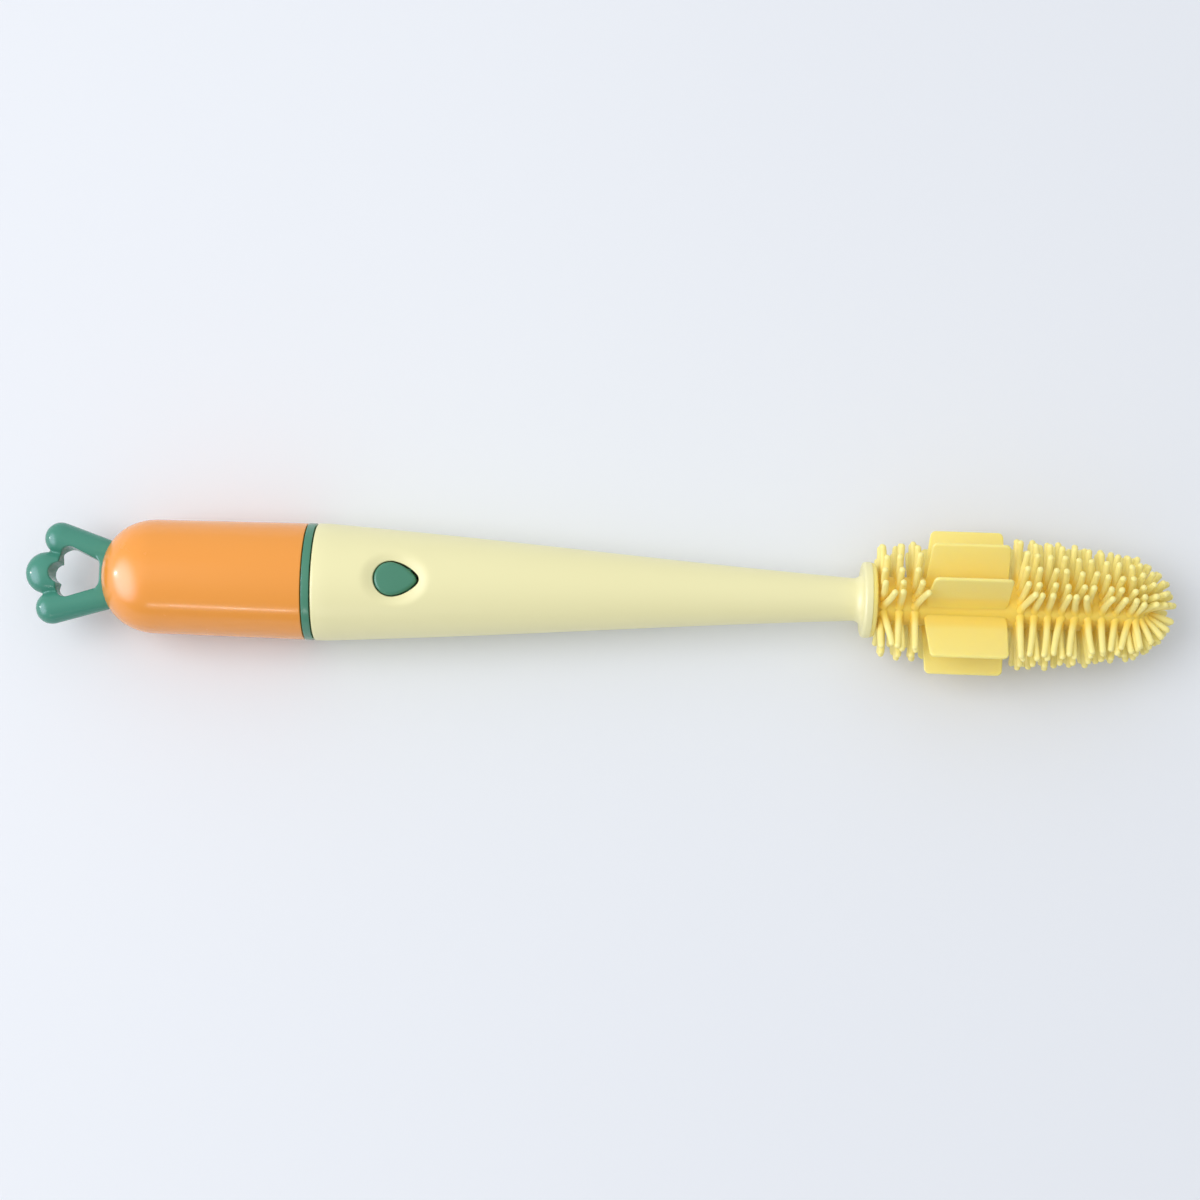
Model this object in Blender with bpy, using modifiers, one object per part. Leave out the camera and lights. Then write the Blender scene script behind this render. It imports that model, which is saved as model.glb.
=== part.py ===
# Bottle brush with a pull-out grip, a latch button and a soft bristle head.
# Metres, +Z up. The brush lies along X with its hanging leaf at -X and its head at +X,
# and the floor is z = 0 under the middle of its length.

import math
import random

import bmesh
import bpy
from mathutils import Vector
from mathutils.geometry import convex_hull_2d

MM = 0.001

# Clearance between pieces that touch
GAP = 0.3 * MM

# Handle, with a flange round the end that carries the head
HANDLE_LENGTH = 173.0 * MM
WIDE_RADIUS = 18.3 * MM
NECK_RADIUS = 6.5 * MM
REST_BAND = 4.0 * MM
TAPER_EASE = 0.2 * MM
HANDLE_WALL = 2.2 * MM
MOUTH_WALL = 2.8 * MM
MOUTH_DEPTH = 12.0 * MM
MOUTH_EDGE = 0.5 * MM
NECK_FILLET = 1.5 * MM
NECK_SOLID = 6.0 * MM
FLANGE_RADIUS = 11.9 * MM
FLANGE_THICKNESS = 2.6 * MM
FLANGE_EDGE = 1.2 * MM

# Thumb dish and the window for the button
DISH_FROM_MOUTH = 25.8 * MM
DISH_DEPTH = 2.2 * MM
DISH_CURVE_ALONG = 22.0 * MM
DISH_CURVE_ACROSS = 80.0 * MM
DISH_BALL_HEIGHT = 12.0 * MM
WINDOW_FROM_MOUTH = 19.0 * MM
WINDOW_LENGTH = 14.1 * MM
WINDOW_WIDTH = 11.0 * MM
WINDOW_TIP_RADIUS = 2.2 * MM
WINDOW_SIDE_RADIUS = 12.5 * MM
DISH_FLOOR_WALL = 1.5 * MM

# Latch button on its tongue
TONGUE_THICKNESS = 1.2 * MM
TONGUE_WIDTH = 7.2 * MM
NUB_PROUD = 0.7 * MM
NUB_SUNK = 1.1 * MM
NUB_PAD = 0.4 * MM
NUB_EDGE = 0.4 * MM
NUB_EDGE_ANGLE = 60.0

# Grip
GRIP_LENGTH = 64.3 * MM
GRIP_STEP = 0.1 * MM
GRIP_DRAFT = 0.35 * MM
GRIP_WALL = 2.2 * MM
GRIP_EDGE = 0.4 * MM
PEG_RADIUS = 2.7 * MM
PEG_LENGTH = 6.0 * MM

# Collar
RING_WIDTH = 2.4 * MM
SPIGOT_LENGTH = 10.0 * MM
SPIGOT_WALL = 2.2 * MM
PLUG_WALL = 1.8 * MM
BOSS_LENGTH = 9.5 * MM
BOSS_WALL = 1.8 * MM

# Small brush carried by the collar
STEM_RADIUS = 1.5 * MM
SMALL_BRUSH_REACH = 95.4 * MM
SMALL_SLEEVE_WALL = 1.1 * MM
SMALL_TIP_RADIUS = 6.8 * MM
SMALL_ROWS = 8
SMALL_COLUMNS = 11
SMALL_PITCH = 4.0 * MM
SMALL_END = 3.0 * MM
SMALL_STRAND_RADIUS = 0.65 * MM

# Leaf: each lobe is placed from the tip of the dome
MIDDLE_LOBE_OUT = 17.3 * MM
MIDDLE_LOBE_RADIUS = 6.6 * MM
UPPER_LOBE = Vector((-13.2, 11.0)) * MM
LOWER_LOBE = Vector((-15.2, -10.9)) * MM
SIDE_LOBE_RADIUS = 5.1 * MM
LEAF_FOOT = Vector((3.0, 6.7)) * MM
LEAF_FOOT_RADIUS = 3.8 * MM
LEAF_HALF_THICKNESS = 5.2 * MM
LEAF_WEB_HEIGHT = 7.0 * MM
LEAF_WEB_FROM_TIP = 1.6 * MM
HOLE_SCALLOPS = [
    (Vector((-10.1, 5.1)) * MM, 2.7 * MM),
    (Vector((-10.9, -4.5)) * MM, 2.7 * MM),
]
HOLE_CORNERS = [
    (Vector((-3.2, 2.8)) * MM, 1.6 * MM),
    (Vector((-3.4, -2.5)) * MM, 1.8 * MM),
]
MIDDLE_SCALLOP = (Vector((-12.8, 0.0)) * MM, 2.9 * MM)

# Silicone head, which starts with a thin disc against the flange
BASE_RADIUS = 11.5 * MM
BASE_THICKNESS = 0.8 * MM
BASE_EDGE = 0.3 * MM
SLEEVE_RADIUS = 7.5 * MM
ROD_RADIUS = 3.4 * MM
ROD_PLUG_LENGTH = 34.2 * MM
NOSE_LENGTH = 7.5 * MM
NOSE_WALL = 6.0 * MM
STRAND_RADIUS = 1.0 * MM
STRAND_TIP_SHARE = 0.85
STRAND_ROOT_DEPTH = 0.7 * MM
REAR_START = 3.4 * MM
REAR_PITCH = 4.95 * MM
REAR_COLUMNS = 3
REAR_TIP_RADIUS = 18.0 * MM
REAR_TIP_RISE = 0.4 * MM
FRONT_GAP = 3.8 * MM
FRONT_PITCH = 4.2 * MM
FRONT_COLUMNS = 9
FRONT_TIP_RADIUS = 20.8 * MM
FRONT_TIP_SLOPE = 0.06
FRONT_TIP_CURVE = 278.0 * MM
STRAND_WANDER = 0.9 * MM

# Nose strands: ring radius on the nose, tip distance past the nose, tip radius
NOSE_REACH = 8.5 * MM
NOSE_COUNTS = [18, 14, 8, 3]
NOSE_RINGS = [
    (7.15 * MM, -2.2 * MM, 16.0 * MM),
    (6.0 * MM, 2.3 * MM, 14.4 * MM),
    (4.1 * MM, 6.0 * MM, 9.6 * MM),
    (1.7 * MM, NOSE_REACH, 3.8 * MM),
]

# Fins
FIN_COUNT = 8
FIN_GAP = 2.8 * MM
FIN_LENGTH = 26.0 * MM
FIN_TIP_INSET_REAR = 1.1 * MM
FIN_TIP_INSET_FRONT = 0.8 * MM
FIN_CORNER = 1.6 * MM
FIN_TIP_RADIUS = 22.6 * MM
FIN_THICKNESS = 1.1 * MM

# The head is moulded in two halves, and rows near the edge of a half lean away from that edge.
# Angles are in degrees round the brush, from straight up towards +Y.
MOULD_MIDDLE = 62.0
ROWS_PER_HALF = 9
EDGE_LEAN = 25.6
STRAND_TURN = 3.0
FIN_TURN = 7.0

# Smoothness of the solids
SHARP_ANGLE = 35.0
BODY_FACETS = 40
ROD_FACETS = 16
SLEEVE_FACETS = 2 * ROWS_PER_HALF
LEAF_FACETS = 16
HOLE_FACETS = 24
HOOK_SEAT_FACETS = 16
TAPER_STATIONS = 12
CAVITY_STATIONS = 6

# Stations along the brush, worked out from the lengths
LEAF_REACH = MIDDLE_LOBE_OUT + MIDDLE_LOBE_RADIUS
FIN_START = REAR_START + (REAR_COLUMNS - 1) * REAR_PITCH + FIN_GAP
FRONT_START = FIN_START + FIN_LENGTH + FRONT_GAP
SLEEVE_LENGTH = FRONT_START + (FRONT_COLUMNS - 1) * FRONT_PITCH + NOSE_LENGTH
HEAD_LENGTH = SLEEVE_LENGTH + NOSE_REACH
TOTAL_LENGTH = LEAF_REACH + GRIP_LENGTH + RING_WIDTH + HANDLE_LENGTH + HEAD_LENGTH + 3 * GAP
DOME_TIP_X = LEAF_REACH - TOTAL_LENGTH / 2
GRIP_END_X = DOME_TIP_X + GRIP_LENGTH
RING_X = GRIP_END_X + GAP
RING_END_X = RING_X + RING_WIDTH
MOUTH_X = RING_END_X + GAP
HANDLE_END_X = MOUTH_X + HANDLE_LENGTH
NECK_X = HANDLE_END_X - FLANGE_THICKNESS
HEAD_X = HANDLE_END_X + GAP
NOSE_X = HEAD_X + SLEEVE_LENGTH
AXIS_HEIGHT = WIDE_RADIUS

# Rows of strands, half a pitch off the mould line
ROW_PITCH = 180.0 / ROWS_PER_HALF
FIRST_ROW = MOULD_MIDDLE - 90.0 + ROW_PITCH / 2

# Fits, worked out from their mating pieces
MOUTH_BORE = WIDE_RADIUS - MOUTH_WALL
BORE_END_X = MOUTH_X + MOUTH_DEPTH
PLUG_RADIUS = MOUTH_BORE - GAP
PLUG_END_X = BORE_END_X - GAP
GRIP_END_RADIUS = WIDE_RADIUS - GRIP_STEP
DOME_RADIUS = GRIP_END_RADIUS - GRIP_DRAFT
GRIP_BORE = DOME_RADIUS - GRIP_WALL
SPIGOT_RADIUS = GRIP_BORE - GAP
DOME_X = DOME_TIP_X + DOME_RADIUS
PEG_HOLE = PEG_RADIUS + GAP
ROD_BORE = ROD_RADIUS + GAP
STEM_BORE = STEM_RADIUS + GAP
ROD_PLUG_X = HANDLE_END_X - ROD_PLUG_LENGTH
STEM_SOCKET_X = RING_X + RING_WIDTH / 2
HINGE_X = RING_END_X + GAP


def clear_scene():
    for obj in list(bpy.data.objects):
        bpy.data.objects.remove(obj, do_unlink=True)


def new_collection(name):
    collection = bpy.data.collections.new(name)
    bpy.context.scene.collection.children.link(collection)
    return collection


clear_scene()
PARTS = new_collection("bottle_brush")
CUTTERS = new_collection("cutters")


def material(name, colour, roughness):
    mat = bpy.data.materials.new(name)
    mat.use_nodes = True
    shader = mat.node_tree.nodes["Principled BSDF"]
    shader.inputs["Base Color"].default_value = (*colour, 1.0)
    shader.inputs["Roughness"].default_value = roughness
    shader.inputs["Metallic"].default_value = 0.0
    return mat


CREAM = material("cream_plastic", (0.84, 0.82, 0.52), 0.35)
ORANGE = material("orange_plastic", (0.92, 0.38, 0.09), 0.15)
GREEN = material("green_plastic", (0.08, 0.30, 0.20), 0.2)
SILICONE = material("pale_silicone", (0.88, 0.75, 0.25), 0.5)
CORE_WHITE = material("core_plastic", (0.85, 0.84, 0.78), 0.4)


def add_object(name, mesh, mat):
    obj = bpy.data.objects.new(name, mesh)
    PARTS.objects.link(obj)
    if mat:
        mesh.materials.append(mat)
    return obj


def as_cutter(obj):
    PARTS.objects.unlink(obj)
    CUTTERS.objects.link(obj)
    obj.hide_render = True
    obj.display_type = "WIRE"
    return obj


def add_empty(name, x, height):
    empty = bpy.data.objects.new(name, None)
    PARTS.objects.link(empty)
    empty.location = (x, 0.0, height)
    return empty


# Carriers: the grip slides on the first, and the button turns on the second, which rides with it
PULL = add_empty("grip_pull_axis", MOUTH_X, AXIS_HEIGHT)


def hold(obj, parent):
    """Parents an object where it stands."""
    bpy.context.view_layer.update()
    obj.parent = parent
    obj.matrix_parent_inverse = parent.matrix_world.inverted()
    return obj


def boolean(target, other, operation):
    mod = target.modifiers.new(other.name, "BOOLEAN")
    mod.operation = operation
    mod.solver = "EXACT"
    mod.object = other


def arc(x, radius_at, radius, start, end, count):
    """Points (x, r) on an arc about (x, radius_at); 0 degrees points along +X, 90 outwards."""
    points = []
    for i in range(count + 1):
        angle = math.radians(start + (end - start) * i / count)
        points.append((x + radius * math.cos(angle), radius_at + radius * math.sin(angle)))
    return points


def turned(name, profile, mat, facets=BODY_FACETS, middle_of_facet=0.0, closed=False):
    """Revolves points (x, r), which run down the outer side from the +X end.

    One flat facet is centred middle_of_facet degrees from the floor side, and each
    radius is the distance from the axis to the middle of a facet.
    """
    spread = 1.0 / math.cos(math.pi / facets)
    first = math.radians(middle_of_facet) + math.pi / facets
    mesh = bpy.data.meshes.new(name)
    verts = [
        (r * spread * math.cos(first), r * spread * math.sin(first), x) for x, r in profile
    ]
    edges = [(i, i + 1) for i in range(len(verts) - 1)]
    if closed:
        edges.append((len(verts) - 1, 0))
    mesh.from_pydata(verts, edges, [])
    obj = add_object(name, mesh, mat)
    screw = obj.modifiers.new("turn", "SCREW")
    screw.axis = "Z"
    screw.angle = 2 * math.pi
    screw.steps = facets
    screw.render_steps = facets
    screw.use_merge_vertices = True
    screw.merge_threshold = 0.00001
    # Its Z runs along the brush and its X points at the floor
    obj.location.z = AXIS_HEIGHT
    obj.rotation_euler.y = math.pi / 2
    return obj


def mesh_of(obj):
    """Turns an object with curves or modifiers into a plain mesh object at its place."""
    bpy.context.view_layer.update()
    depsgraph = bpy.context.evaluated_depsgraph_get()
    mesh = bpy.data.meshes.new_from_object(obj.evaluated_get(depsgraph))
    name = obj.name
    matrix = obj.matrix_world.copy()
    bpy.data.objects.remove(obj, do_unlink=True)
    bm = bmesh.new()
    bm.from_mesh(mesh)
    bmesh.ops.remove_doubles(bm, verts=bm.verts, dist=0.000001)
    bmesh.ops.recalc_face_normals(bm, faces=bm.faces)
    bm.to_mesh(mesh)
    bm.free()
    plain = add_object(name, mesh, None)
    plain.matrix_world = matrix
    return plain


def finished(obj, carrier=None):
    """Bakes a piece's modifiers, shades its round faces smooth and hangs it on its carrier."""
    mat = obj.data.materials[0]
    plain = mesh_of(obj)
    plain.data.materials.clear()
    plain.data.materials.append(mat)
    plain.data.shade_smooth()
    plain.data.set_sharp_from_angle(angle=math.radians(SHARP_ANGLE))
    if carrier:
        hold(plain, carrier)
    return plain


def prism(name, outline, low, high, mat=None):
    """A flat outline in X and Y, standing between two heights."""
    curve = bpy.data.curves.new(name, "CURVE")
    curve.dimensions = "2D"
    curve.fill_mode = "BOTH"
    curve.extrude = (high - low) / 2
    spline = curve.splines.new("POLY")
    spline.points.add(len(outline) - 1)
    for point, (x, y) in zip(spline.points, outline):
        point.co = (x, y, 0.0, 1.0)
    spline.use_cyclic_u = True
    obj = bpy.data.objects.new(name, curve)
    PARTS.objects.link(obj)
    obj.location.z = (low + high) / 2
    plain = mesh_of(obj)
    if mat:
        plain.data.materials.append(mat)
    return plain


def block(name, low, high):
    """A box between two corners."""
    bm = bmesh.new()
    bmesh.ops.create_cube(bm, size=1.0)
    low, high = Vector(low), Vector(high)
    for vert in bm.verts:
        vert.co = Vector(
            (low[i] if vert.co[i] < 0 else high[i]) for i in range(3)
        )
    mesh = bpy.data.meshes.new(name)
    bm.to_mesh(mesh)
    bm.free()
    return add_object(name, mesh, None)


def ball(name, half_sizes):
    """A ball stretched to three half sizes."""
    bm = bmesh.new()
    bmesh.ops.create_uvsphere(bm, u_segments=BODY_FACETS, v_segments=BODY_FACETS // 2, radius=1.0)
    bmesh.ops.scale(bm, vec=half_sizes, verts=bm.verts)
    mesh = bpy.data.meshes.new(name)
    bm.to_mesh(mesh)
    bm.free()
    return add_object(name, mesh, None)


def circle_points(centre, radius, count):
    """Corners of a ring with a flat facet square to X."""
    points = []
    for i in range(count):
        angle = 2 * math.pi * (i + 0.5) / count
        points.append((centre[0] + radius * math.cos(angle), centre[1] + radius * math.sin(angle)))
    return points


def handle_radius(x):
    """Outer radius of the handle: a flat band at the mouth, then an eased taper."""
    taper_x = MOUTH_X + REST_BAND
    share = max(0.0, (x - taper_x) / (NECK_X - taper_x))
    return WIDE_RADIUS - (WIDE_RADIUS - NECK_RADIUS) * share + TAPER_EASE * math.sin(2 * math.pi * share)


DISH_X = MOUTH_X + DISH_FROM_MOUTH
DISH_FLOOR = handle_radius(DISH_X) - DISH_DEPTH
DISH_SLOPE = (handle_radius(DISH_X + MM) - handle_radius(DISH_X - MM)) / (2 * MM)
CEILING = DISH_FLOOR - DISH_FLOOR_WALL
TONGUE_TOP = CEILING - GAP
CAVITY_X = ROD_PLUG_X - NECK_SOLID


def egg(start, length, width, tip_radius, side_radius, steps=9):
    """Outline of an egg whose blunt end is at x = start and whose tip points along +X."""
    big = width / 2
    big_x = start + big
    tip_x = start + length - tip_radius
    span = tip_x - big_x
    # The side arc touches both end circles from inside
    reach_big = side_radius - big
    reach_tip = side_radius - tip_radius
    side_x = (reach_big ** 2 - reach_tip ** 2 + span ** 2) / (2 * span)
    side_y = -math.sqrt(reach_big ** 2 - side_x ** 2)
    side_x += big_x
    turn_big = math.atan2(-side_y, big_x - side_x)
    turn_tip = math.atan2(-side_y, tip_x - side_x)
    upper = []
    for i in range(steps):
        angle = turn_tip * i / steps
        upper.append((tip_x + tip_radius * math.cos(angle), tip_radius * math.sin(angle)))
    for i in range(steps):
        angle = turn_tip + (turn_big - turn_tip) * i / steps
        upper.append((side_x + side_radius * math.cos(angle), side_y + side_radius * math.sin(angle)))
    for i in range(steps + 1):
        angle = turn_big + (math.pi - turn_big) * i / steps
        upper.append((big_x + big * math.cos(angle), big * math.sin(angle)))
    lower = [(x, -y) for x, y in reversed(upper[1:-1])]
    return upper + lower


def build_handle():
    taper_start = MOUTH_X + REST_BAND
    taper_end = NECK_X - NECK_FILLET
    outer = []
    for i in range(TAPER_STATIONS + 1):
        x = taper_end + (taper_start - taper_end) * i / TAPER_STATIONS
        outer.append((x, handle_radius(x)))
    profile = [
        (ROD_PLUG_X, 0.0),
        (ROD_PLUG_X, ROD_BORE),
        (HANDLE_END_X, ROD_BORE),
        (HANDLE_END_X, FLANGE_RADIUS - FLANGE_EDGE / 2),
        (HANDLE_END_X - FLANGE_EDGE / 2, FLANGE_RADIUS),
        *arc(NECK_X + FLANGE_EDGE, FLANGE_RADIUS - FLANGE_EDGE, FLANGE_EDGE, 90, 180, 3),
        (NECK_X, NECK_RADIUS + NECK_FILLET),
        *outer,
        (MOUTH_X + MOUTH_EDGE, WIDE_RADIUS),
        (MOUTH_X, WIDE_RADIUS - MOUTH_EDGE),
        (MOUTH_X, 0.0),
    ]
    shell = turned("handle_shell", profile, CREAM)

    inner = []
    for i in range(CAVITY_STATIONS + 1):
        x = CAVITY_X + (BORE_END_X - CAVITY_X) * i / CAVITY_STATIONS
        inner.append((x, min(MOUTH_BORE, handle_radius(x) - HANDLE_WALL)))
    past_mouth = MOUTH_X - MOUTH_DEPTH
    cavity = as_cutter(
        turned(
            "cavity",
            [(CAVITY_X, 0.0), *inner, (past_mouth, MOUTH_BORE), (past_mouth, 0.0)],
            None,
        )
    )
    # The hollow has a flat ceiling under the dish, so that the dish keeps a floor
    ceiling = as_cutter(
        block(
            "ceiling",
            (BORE_END_X, -WIDE_RADIUS, AXIS_HEIGHT + CEILING),
            (NECK_X, WIDE_RADIUS, AXIS_HEIGHT + 2 * WIDE_RADIUS),
        )
    )
    boolean(cavity, ceiling, "DIFFERENCE")
    boolean(shell, cavity, "DIFFERENCE")

    # A flattened ball, tilted with the taper, scoops the thumb dish
    along = math.sqrt(DISH_CURVE_ALONG * DISH_BALL_HEIGHT)
    across = math.sqrt(DISH_CURVE_ACROSS * DISH_BALL_HEIGHT)
    dish = as_cutter(ball("dish", (along, across, DISH_BALL_HEIGHT)))
    dish.location = (DISH_X, 0.0, AXIS_HEIGHT + DISH_FLOOR + DISH_BALL_HEIGHT)
    dish.rotation_euler.y = -math.atan(DISH_SLOPE)
    boolean(shell, dish, "DIFFERENCE")

    outline = egg(
        MOUTH_X + WINDOW_FROM_MOUTH,
        WINDOW_LENGTH,
        WINDOW_WIDTH,
        WINDOW_TIP_RADIUS,
        WINDOW_SIDE_RADIUS,
    )
    window = as_cutter(
        prism("window", outline, AXIS_HEIGHT + PLUG_RADIUS / 2, AXIS_HEIGHT + 2 * WIDE_RADIUS)
    )
    # Its own faces where it is cut are settled first, so that they stay closed at any radius
    shell = mesh_of(shell)
    boolean(shell, window, "DIFFERENCE")
    return finished(shell)


def build_core_rod():
    low = ROD_PLUG_X + GAP
    high = NOSE_X - NOSE_WALL - GAP
    edge = ROD_RADIUS / 4
    profile = [
        (high, 0.0),
        (high, ROD_RADIUS - edge),
        (high - edge, ROD_RADIUS),
        (low + edge, ROD_RADIUS),
        (low, ROD_RADIUS - edge),
        (low, 0.0),
    ]
    return finished(turned("core_rod", profile, CORE_WHITE, facets=ROD_FACETS))


def grip_radius(x):
    share = (x - DOME_X) / (GRIP_END_X - DOME_X)
    return DOME_RADIUS + (GRIP_END_RADIUS - DOME_RADIUS) * share


def build_grip():
    hole_turn = math.degrees(math.asin(PEG_HOLE / DOME_RADIUS))
    inner_radius = DOME_RADIUS - GRIP_WALL
    inner_turn = math.degrees(math.asin(PEG_HOLE / inner_radius))
    middle_x = (DOME_X + GRIP_END_X) / 2
    profile = [
        (GRIP_END_X, GRIP_END_RADIUS - GRIP_EDGE),
        (GRIP_END_X - GRIP_EDGE, GRIP_END_RADIUS),
        (middle_x, grip_radius(middle_x)),
        *arc(DOME_X, 0.0, DOME_RADIUS, 90, 180 - hole_turn, 9),
        *arc(DOME_X, 0.0, inner_radius, 180 - inner_turn, 90, 6),
        (GRIP_END_X, GRIP_BORE),
    ]
    return finished(turned("grip_shell", profile, ORANGE, closed=True), PULL)


def build_collar():
    boss_end = RING_END_X + BOSS_LENGTH
    boss_radius = STEM_BORE + BOSS_WALL
    hollow = PLUG_RADIUS - PLUG_WALL
    spigot_end = RING_X - SPIGOT_LENGTH
    spigot_bore = SPIGOT_RADIUS - SPIGOT_WALL
    profile = [
        (STEM_SOCKET_X, 0.0),
        (STEM_SOCKET_X, STEM_BORE),
        (boss_end, STEM_BORE),
        (boss_end, boss_radius),
        (RING_END_X, boss_radius),
        (RING_END_X, hollow),
        (PLUG_END_X, hollow),
        (PLUG_END_X, PLUG_RADIUS),
        (RING_END_X, PLUG_RADIUS),
        (RING_END_X, WIDE_RADIUS),
        (RING_X, WIDE_RADIUS),
        (RING_X, SPIGOT_RADIUS),
        (spigot_end, SPIGOT_RADIUS),
        (spigot_end, spigot_bore),
        (RING_X, spigot_bore),
        (RING_X, 0.0),
    ]
    collar = turned("latch_collar", profile, GREEN)

    # The plug is slotted at the top for the tongue
    half = TONGUE_WIDTH / 2 + GAP
    slot = block(
        "tongue_slot",
        (RING_END_X, -half, AXIS_HEIGHT + TONGUE_TOP - TONGUE_THICKNESS - GAP),
        (PLUG_END_X + MOUTH_DEPTH, half, AXIS_HEIGHT + WIDE_RADIUS),
    )
    boolean(collar, as_cutter(slot), "DIFFERENCE")
    return finished(collar, PULL)


def dish_height(x):
    """Height of the dish above the brush's axis, along its middle."""
    offset = x - DISH_X
    return DISH_FLOOR + DISH_SLOPE * offset + offset ** 2 / (2 * DISH_CURVE_ALONG)


def build_button():
    """The springing tongue and its egg-shaped nub, with the hinge line at its root."""
    bottom = TONGUE_TOP - TONGUE_THICKNESS
    start = MOUTH_X + WINDOW_FROM_MOUTH + GAP
    length = WINDOW_LENGTH - 2 * GAP
    end = start + length
    tongue = block(
        "tongue",
        (HINGE_X, -TONGUE_WIDTH / 2, AXIS_HEIGHT + bottom),
        (end - WINDOW_TIP_RADIUS, TONGUE_WIDTH / 2, AXIS_HEIGHT + TONGUE_TOP),
    )
    outline = egg(
        start, length, WINDOW_WIDTH - 2 * GAP, WINDOW_TIP_RADIUS - GAP, WINDOW_SIDE_RADIUS - GAP
    )
    nub = prism(
        "release_button", outline, AXIS_HEIGHT + bottom - NUB_PAD, AXIS_HEIGHT + WIDE_RADIUS, GREEN
    )

    # Its top slopes down to the tip, where it sinks below the dish so that it can be pushed in
    high = dish_height(start) + NUB_PROUD
    low = dish_height(end) - NUB_SUNK
    for vert in nub.data.vertices:
        if vert.co.z > 0:
            share = (vert.co.x - start) / length
            vert.co.z = AXIS_HEIGHT + high + (low - high) * share - nub.location.z
    bevel = nub.modifiers.new("edge", "BEVEL")
    bevel.width = NUB_EDGE
    bevel.segments = 2
    bevel.limit_method = "ANGLE"
    bevel.angle_limit = math.radians(NUB_EDGE_ANGLE)
    boolean(nub, as_cutter(tongue), "UNION")
    return finished(nub, HINGE)


def pressed_ball(centre, radius, half_thickness):
    """Points of a ball pressed to a thickness."""
    bm = bmesh.new()
    bmesh.ops.create_uvsphere(
        bm, u_segments=LEAF_FACETS, v_segments=LEAF_FACETS // 2, radius=radius
    )
    squash = half_thickness / radius
    points = [(v.co.x + centre[0], v.co.y + centre[1], v.co.z * squash) for v in bm.verts]
    bm.free()
    return points


def leaf_piece(name, balls):
    """One lobe: the hull round its balls."""
    bm = bmesh.new()
    for centre, radius, half_thickness in balls:
        for point in pressed_ball(centre, radius, half_thickness):
            bm.verts.new(point)
    bmesh.ops.convex_hull(bm, input=bm.verts)
    loose = [vert for vert in bm.verts if not vert.link_faces]
    bmesh.ops.delete(bm, geom=loose, context="VERTS")
    bmesh.ops.recalc_face_normals(bm, faces=bm.faces)
    mesh = bpy.data.meshes.new(name)
    bm.to_mesh(mesh)
    bm.free()
    obj = add_object(name, mesh, None)
    obj.location.z = AXIS_HEIGHT
    return obj


def build_leaf():
    tip = Vector((DOME_TIP_X, 0.0))
    foot_thickness = LEAF_HALF_THICKNESS * LEAF_FOOT_RADIUS / SIDE_LOBE_RADIUS
    mirror = Vector((LEAF_FOOT.x, -LEAF_FOOT.y))
    middle = tip + Vector((-MIDDLE_LOBE_OUT, 0.0))
    inner = tip + Vector((HOLE_SCALLOPS[0][0].x, 0.0))
    leaf = leaf_piece(
        "leaf_loop",
        [
            (middle, MIDDLE_LOBE_RADIUS, LEAF_HALF_THICKNESS),
            (inner, MIDDLE_LOBE_RADIUS, foot_thickness),
        ],
    )
    leaf.data.materials.append(GREEN)
    for name, lobe, foot in (("upper_lobe", UPPER_LOBE, LEAF_FOOT), ("lower_lobe", LOWER_LOBE, mirror)):
        arm = leaf_piece(
            name,
            [
                (tip + lobe, SIDE_LOBE_RADIUS, LEAF_HALF_THICKNESS),
                (tip + foot, LEAF_FOOT_RADIUS, foot_thickness),
            ],
        )
        boolean(leaf, as_cutter(arm), "UNION")

    half_web = LEAF_WEB_HEIGHT / 2
    web = block(
        "leaf_web",
        (DOME_TIP_X - LEAF_WEB_FROM_TIP - GAP, -LEAF_FOOT.y, AXIS_HEIGHT - half_web),
        (DOME_TIP_X + LEAF_FOOT.x, LEAF_FOOT.y, AXIS_HEIGHT + half_web),
    )
    boolean(leaf, as_cutter(web), "UNION")

    # The foot is hollowed to sit on the dome, then the peg goes through it
    seat = as_cutter(ball("dome_seat", [DOME_RADIUS + 2 * GAP] * 3))
    seat.location = (DOME_X, 0.0, AXIS_HEIGHT)
    boolean(leaf, seat, "DIFFERENCE")

    low, high = AXIS_HEIGHT - WIDE_RADIUS, AXIS_HEIGHT + WIDE_RADIUS
    points = []
    for centre, radius in HOLE_SCALLOPS + HOLE_CORNERS:
        points.extend(circle_points(tip + centre, radius, HOLE_FACETS))
    outline = [points[i] for i in convex_hull_2d(points)]
    boolean(leaf, as_cutter(prism("loop_hole", outline, low, high)), "DIFFERENCE")
    centre, radius = MIDDLE_SCALLOP
    outline = circle_points(tip + centre, radius, HOOK_SEAT_FACETS)
    boolean(leaf, as_cutter(prism("loop_hook_seat", outline, low, high)), "DIFFERENCE")

    peg_start = DOME_TIP_X - LEAF_WEB_FROM_TIP / 2
    peg = turned(
        "leaf_peg",
        [
            (peg_start + PEG_LENGTH, 0.0),
            (peg_start + PEG_LENGTH, PEG_RADIUS),
            (peg_start, PEG_RADIUS),
            (peg_start, 0.0),
        ],
        None,
        facets=ROD_FACETS,
    )
    boolean(leaf, as_cutter(peg), "UNION")
    return finished(leaf, PULL)


def on_sleeve(x, radius, degrees):
    angle = math.radians(degrees)
    return Vector((x, radius * math.sin(angle), AXIS_HEIGHT + radius * math.cos(angle)))


def lean(root, turn):
    """Angle at which a row or fin that starts at an angle ends, mostly turned near its half's edge."""
    offset = (root - MOULD_MIDDLE + 90) % 180 - 90
    return root + turn - EDGE_LEAN * (offset / 90) ** 3


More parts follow.
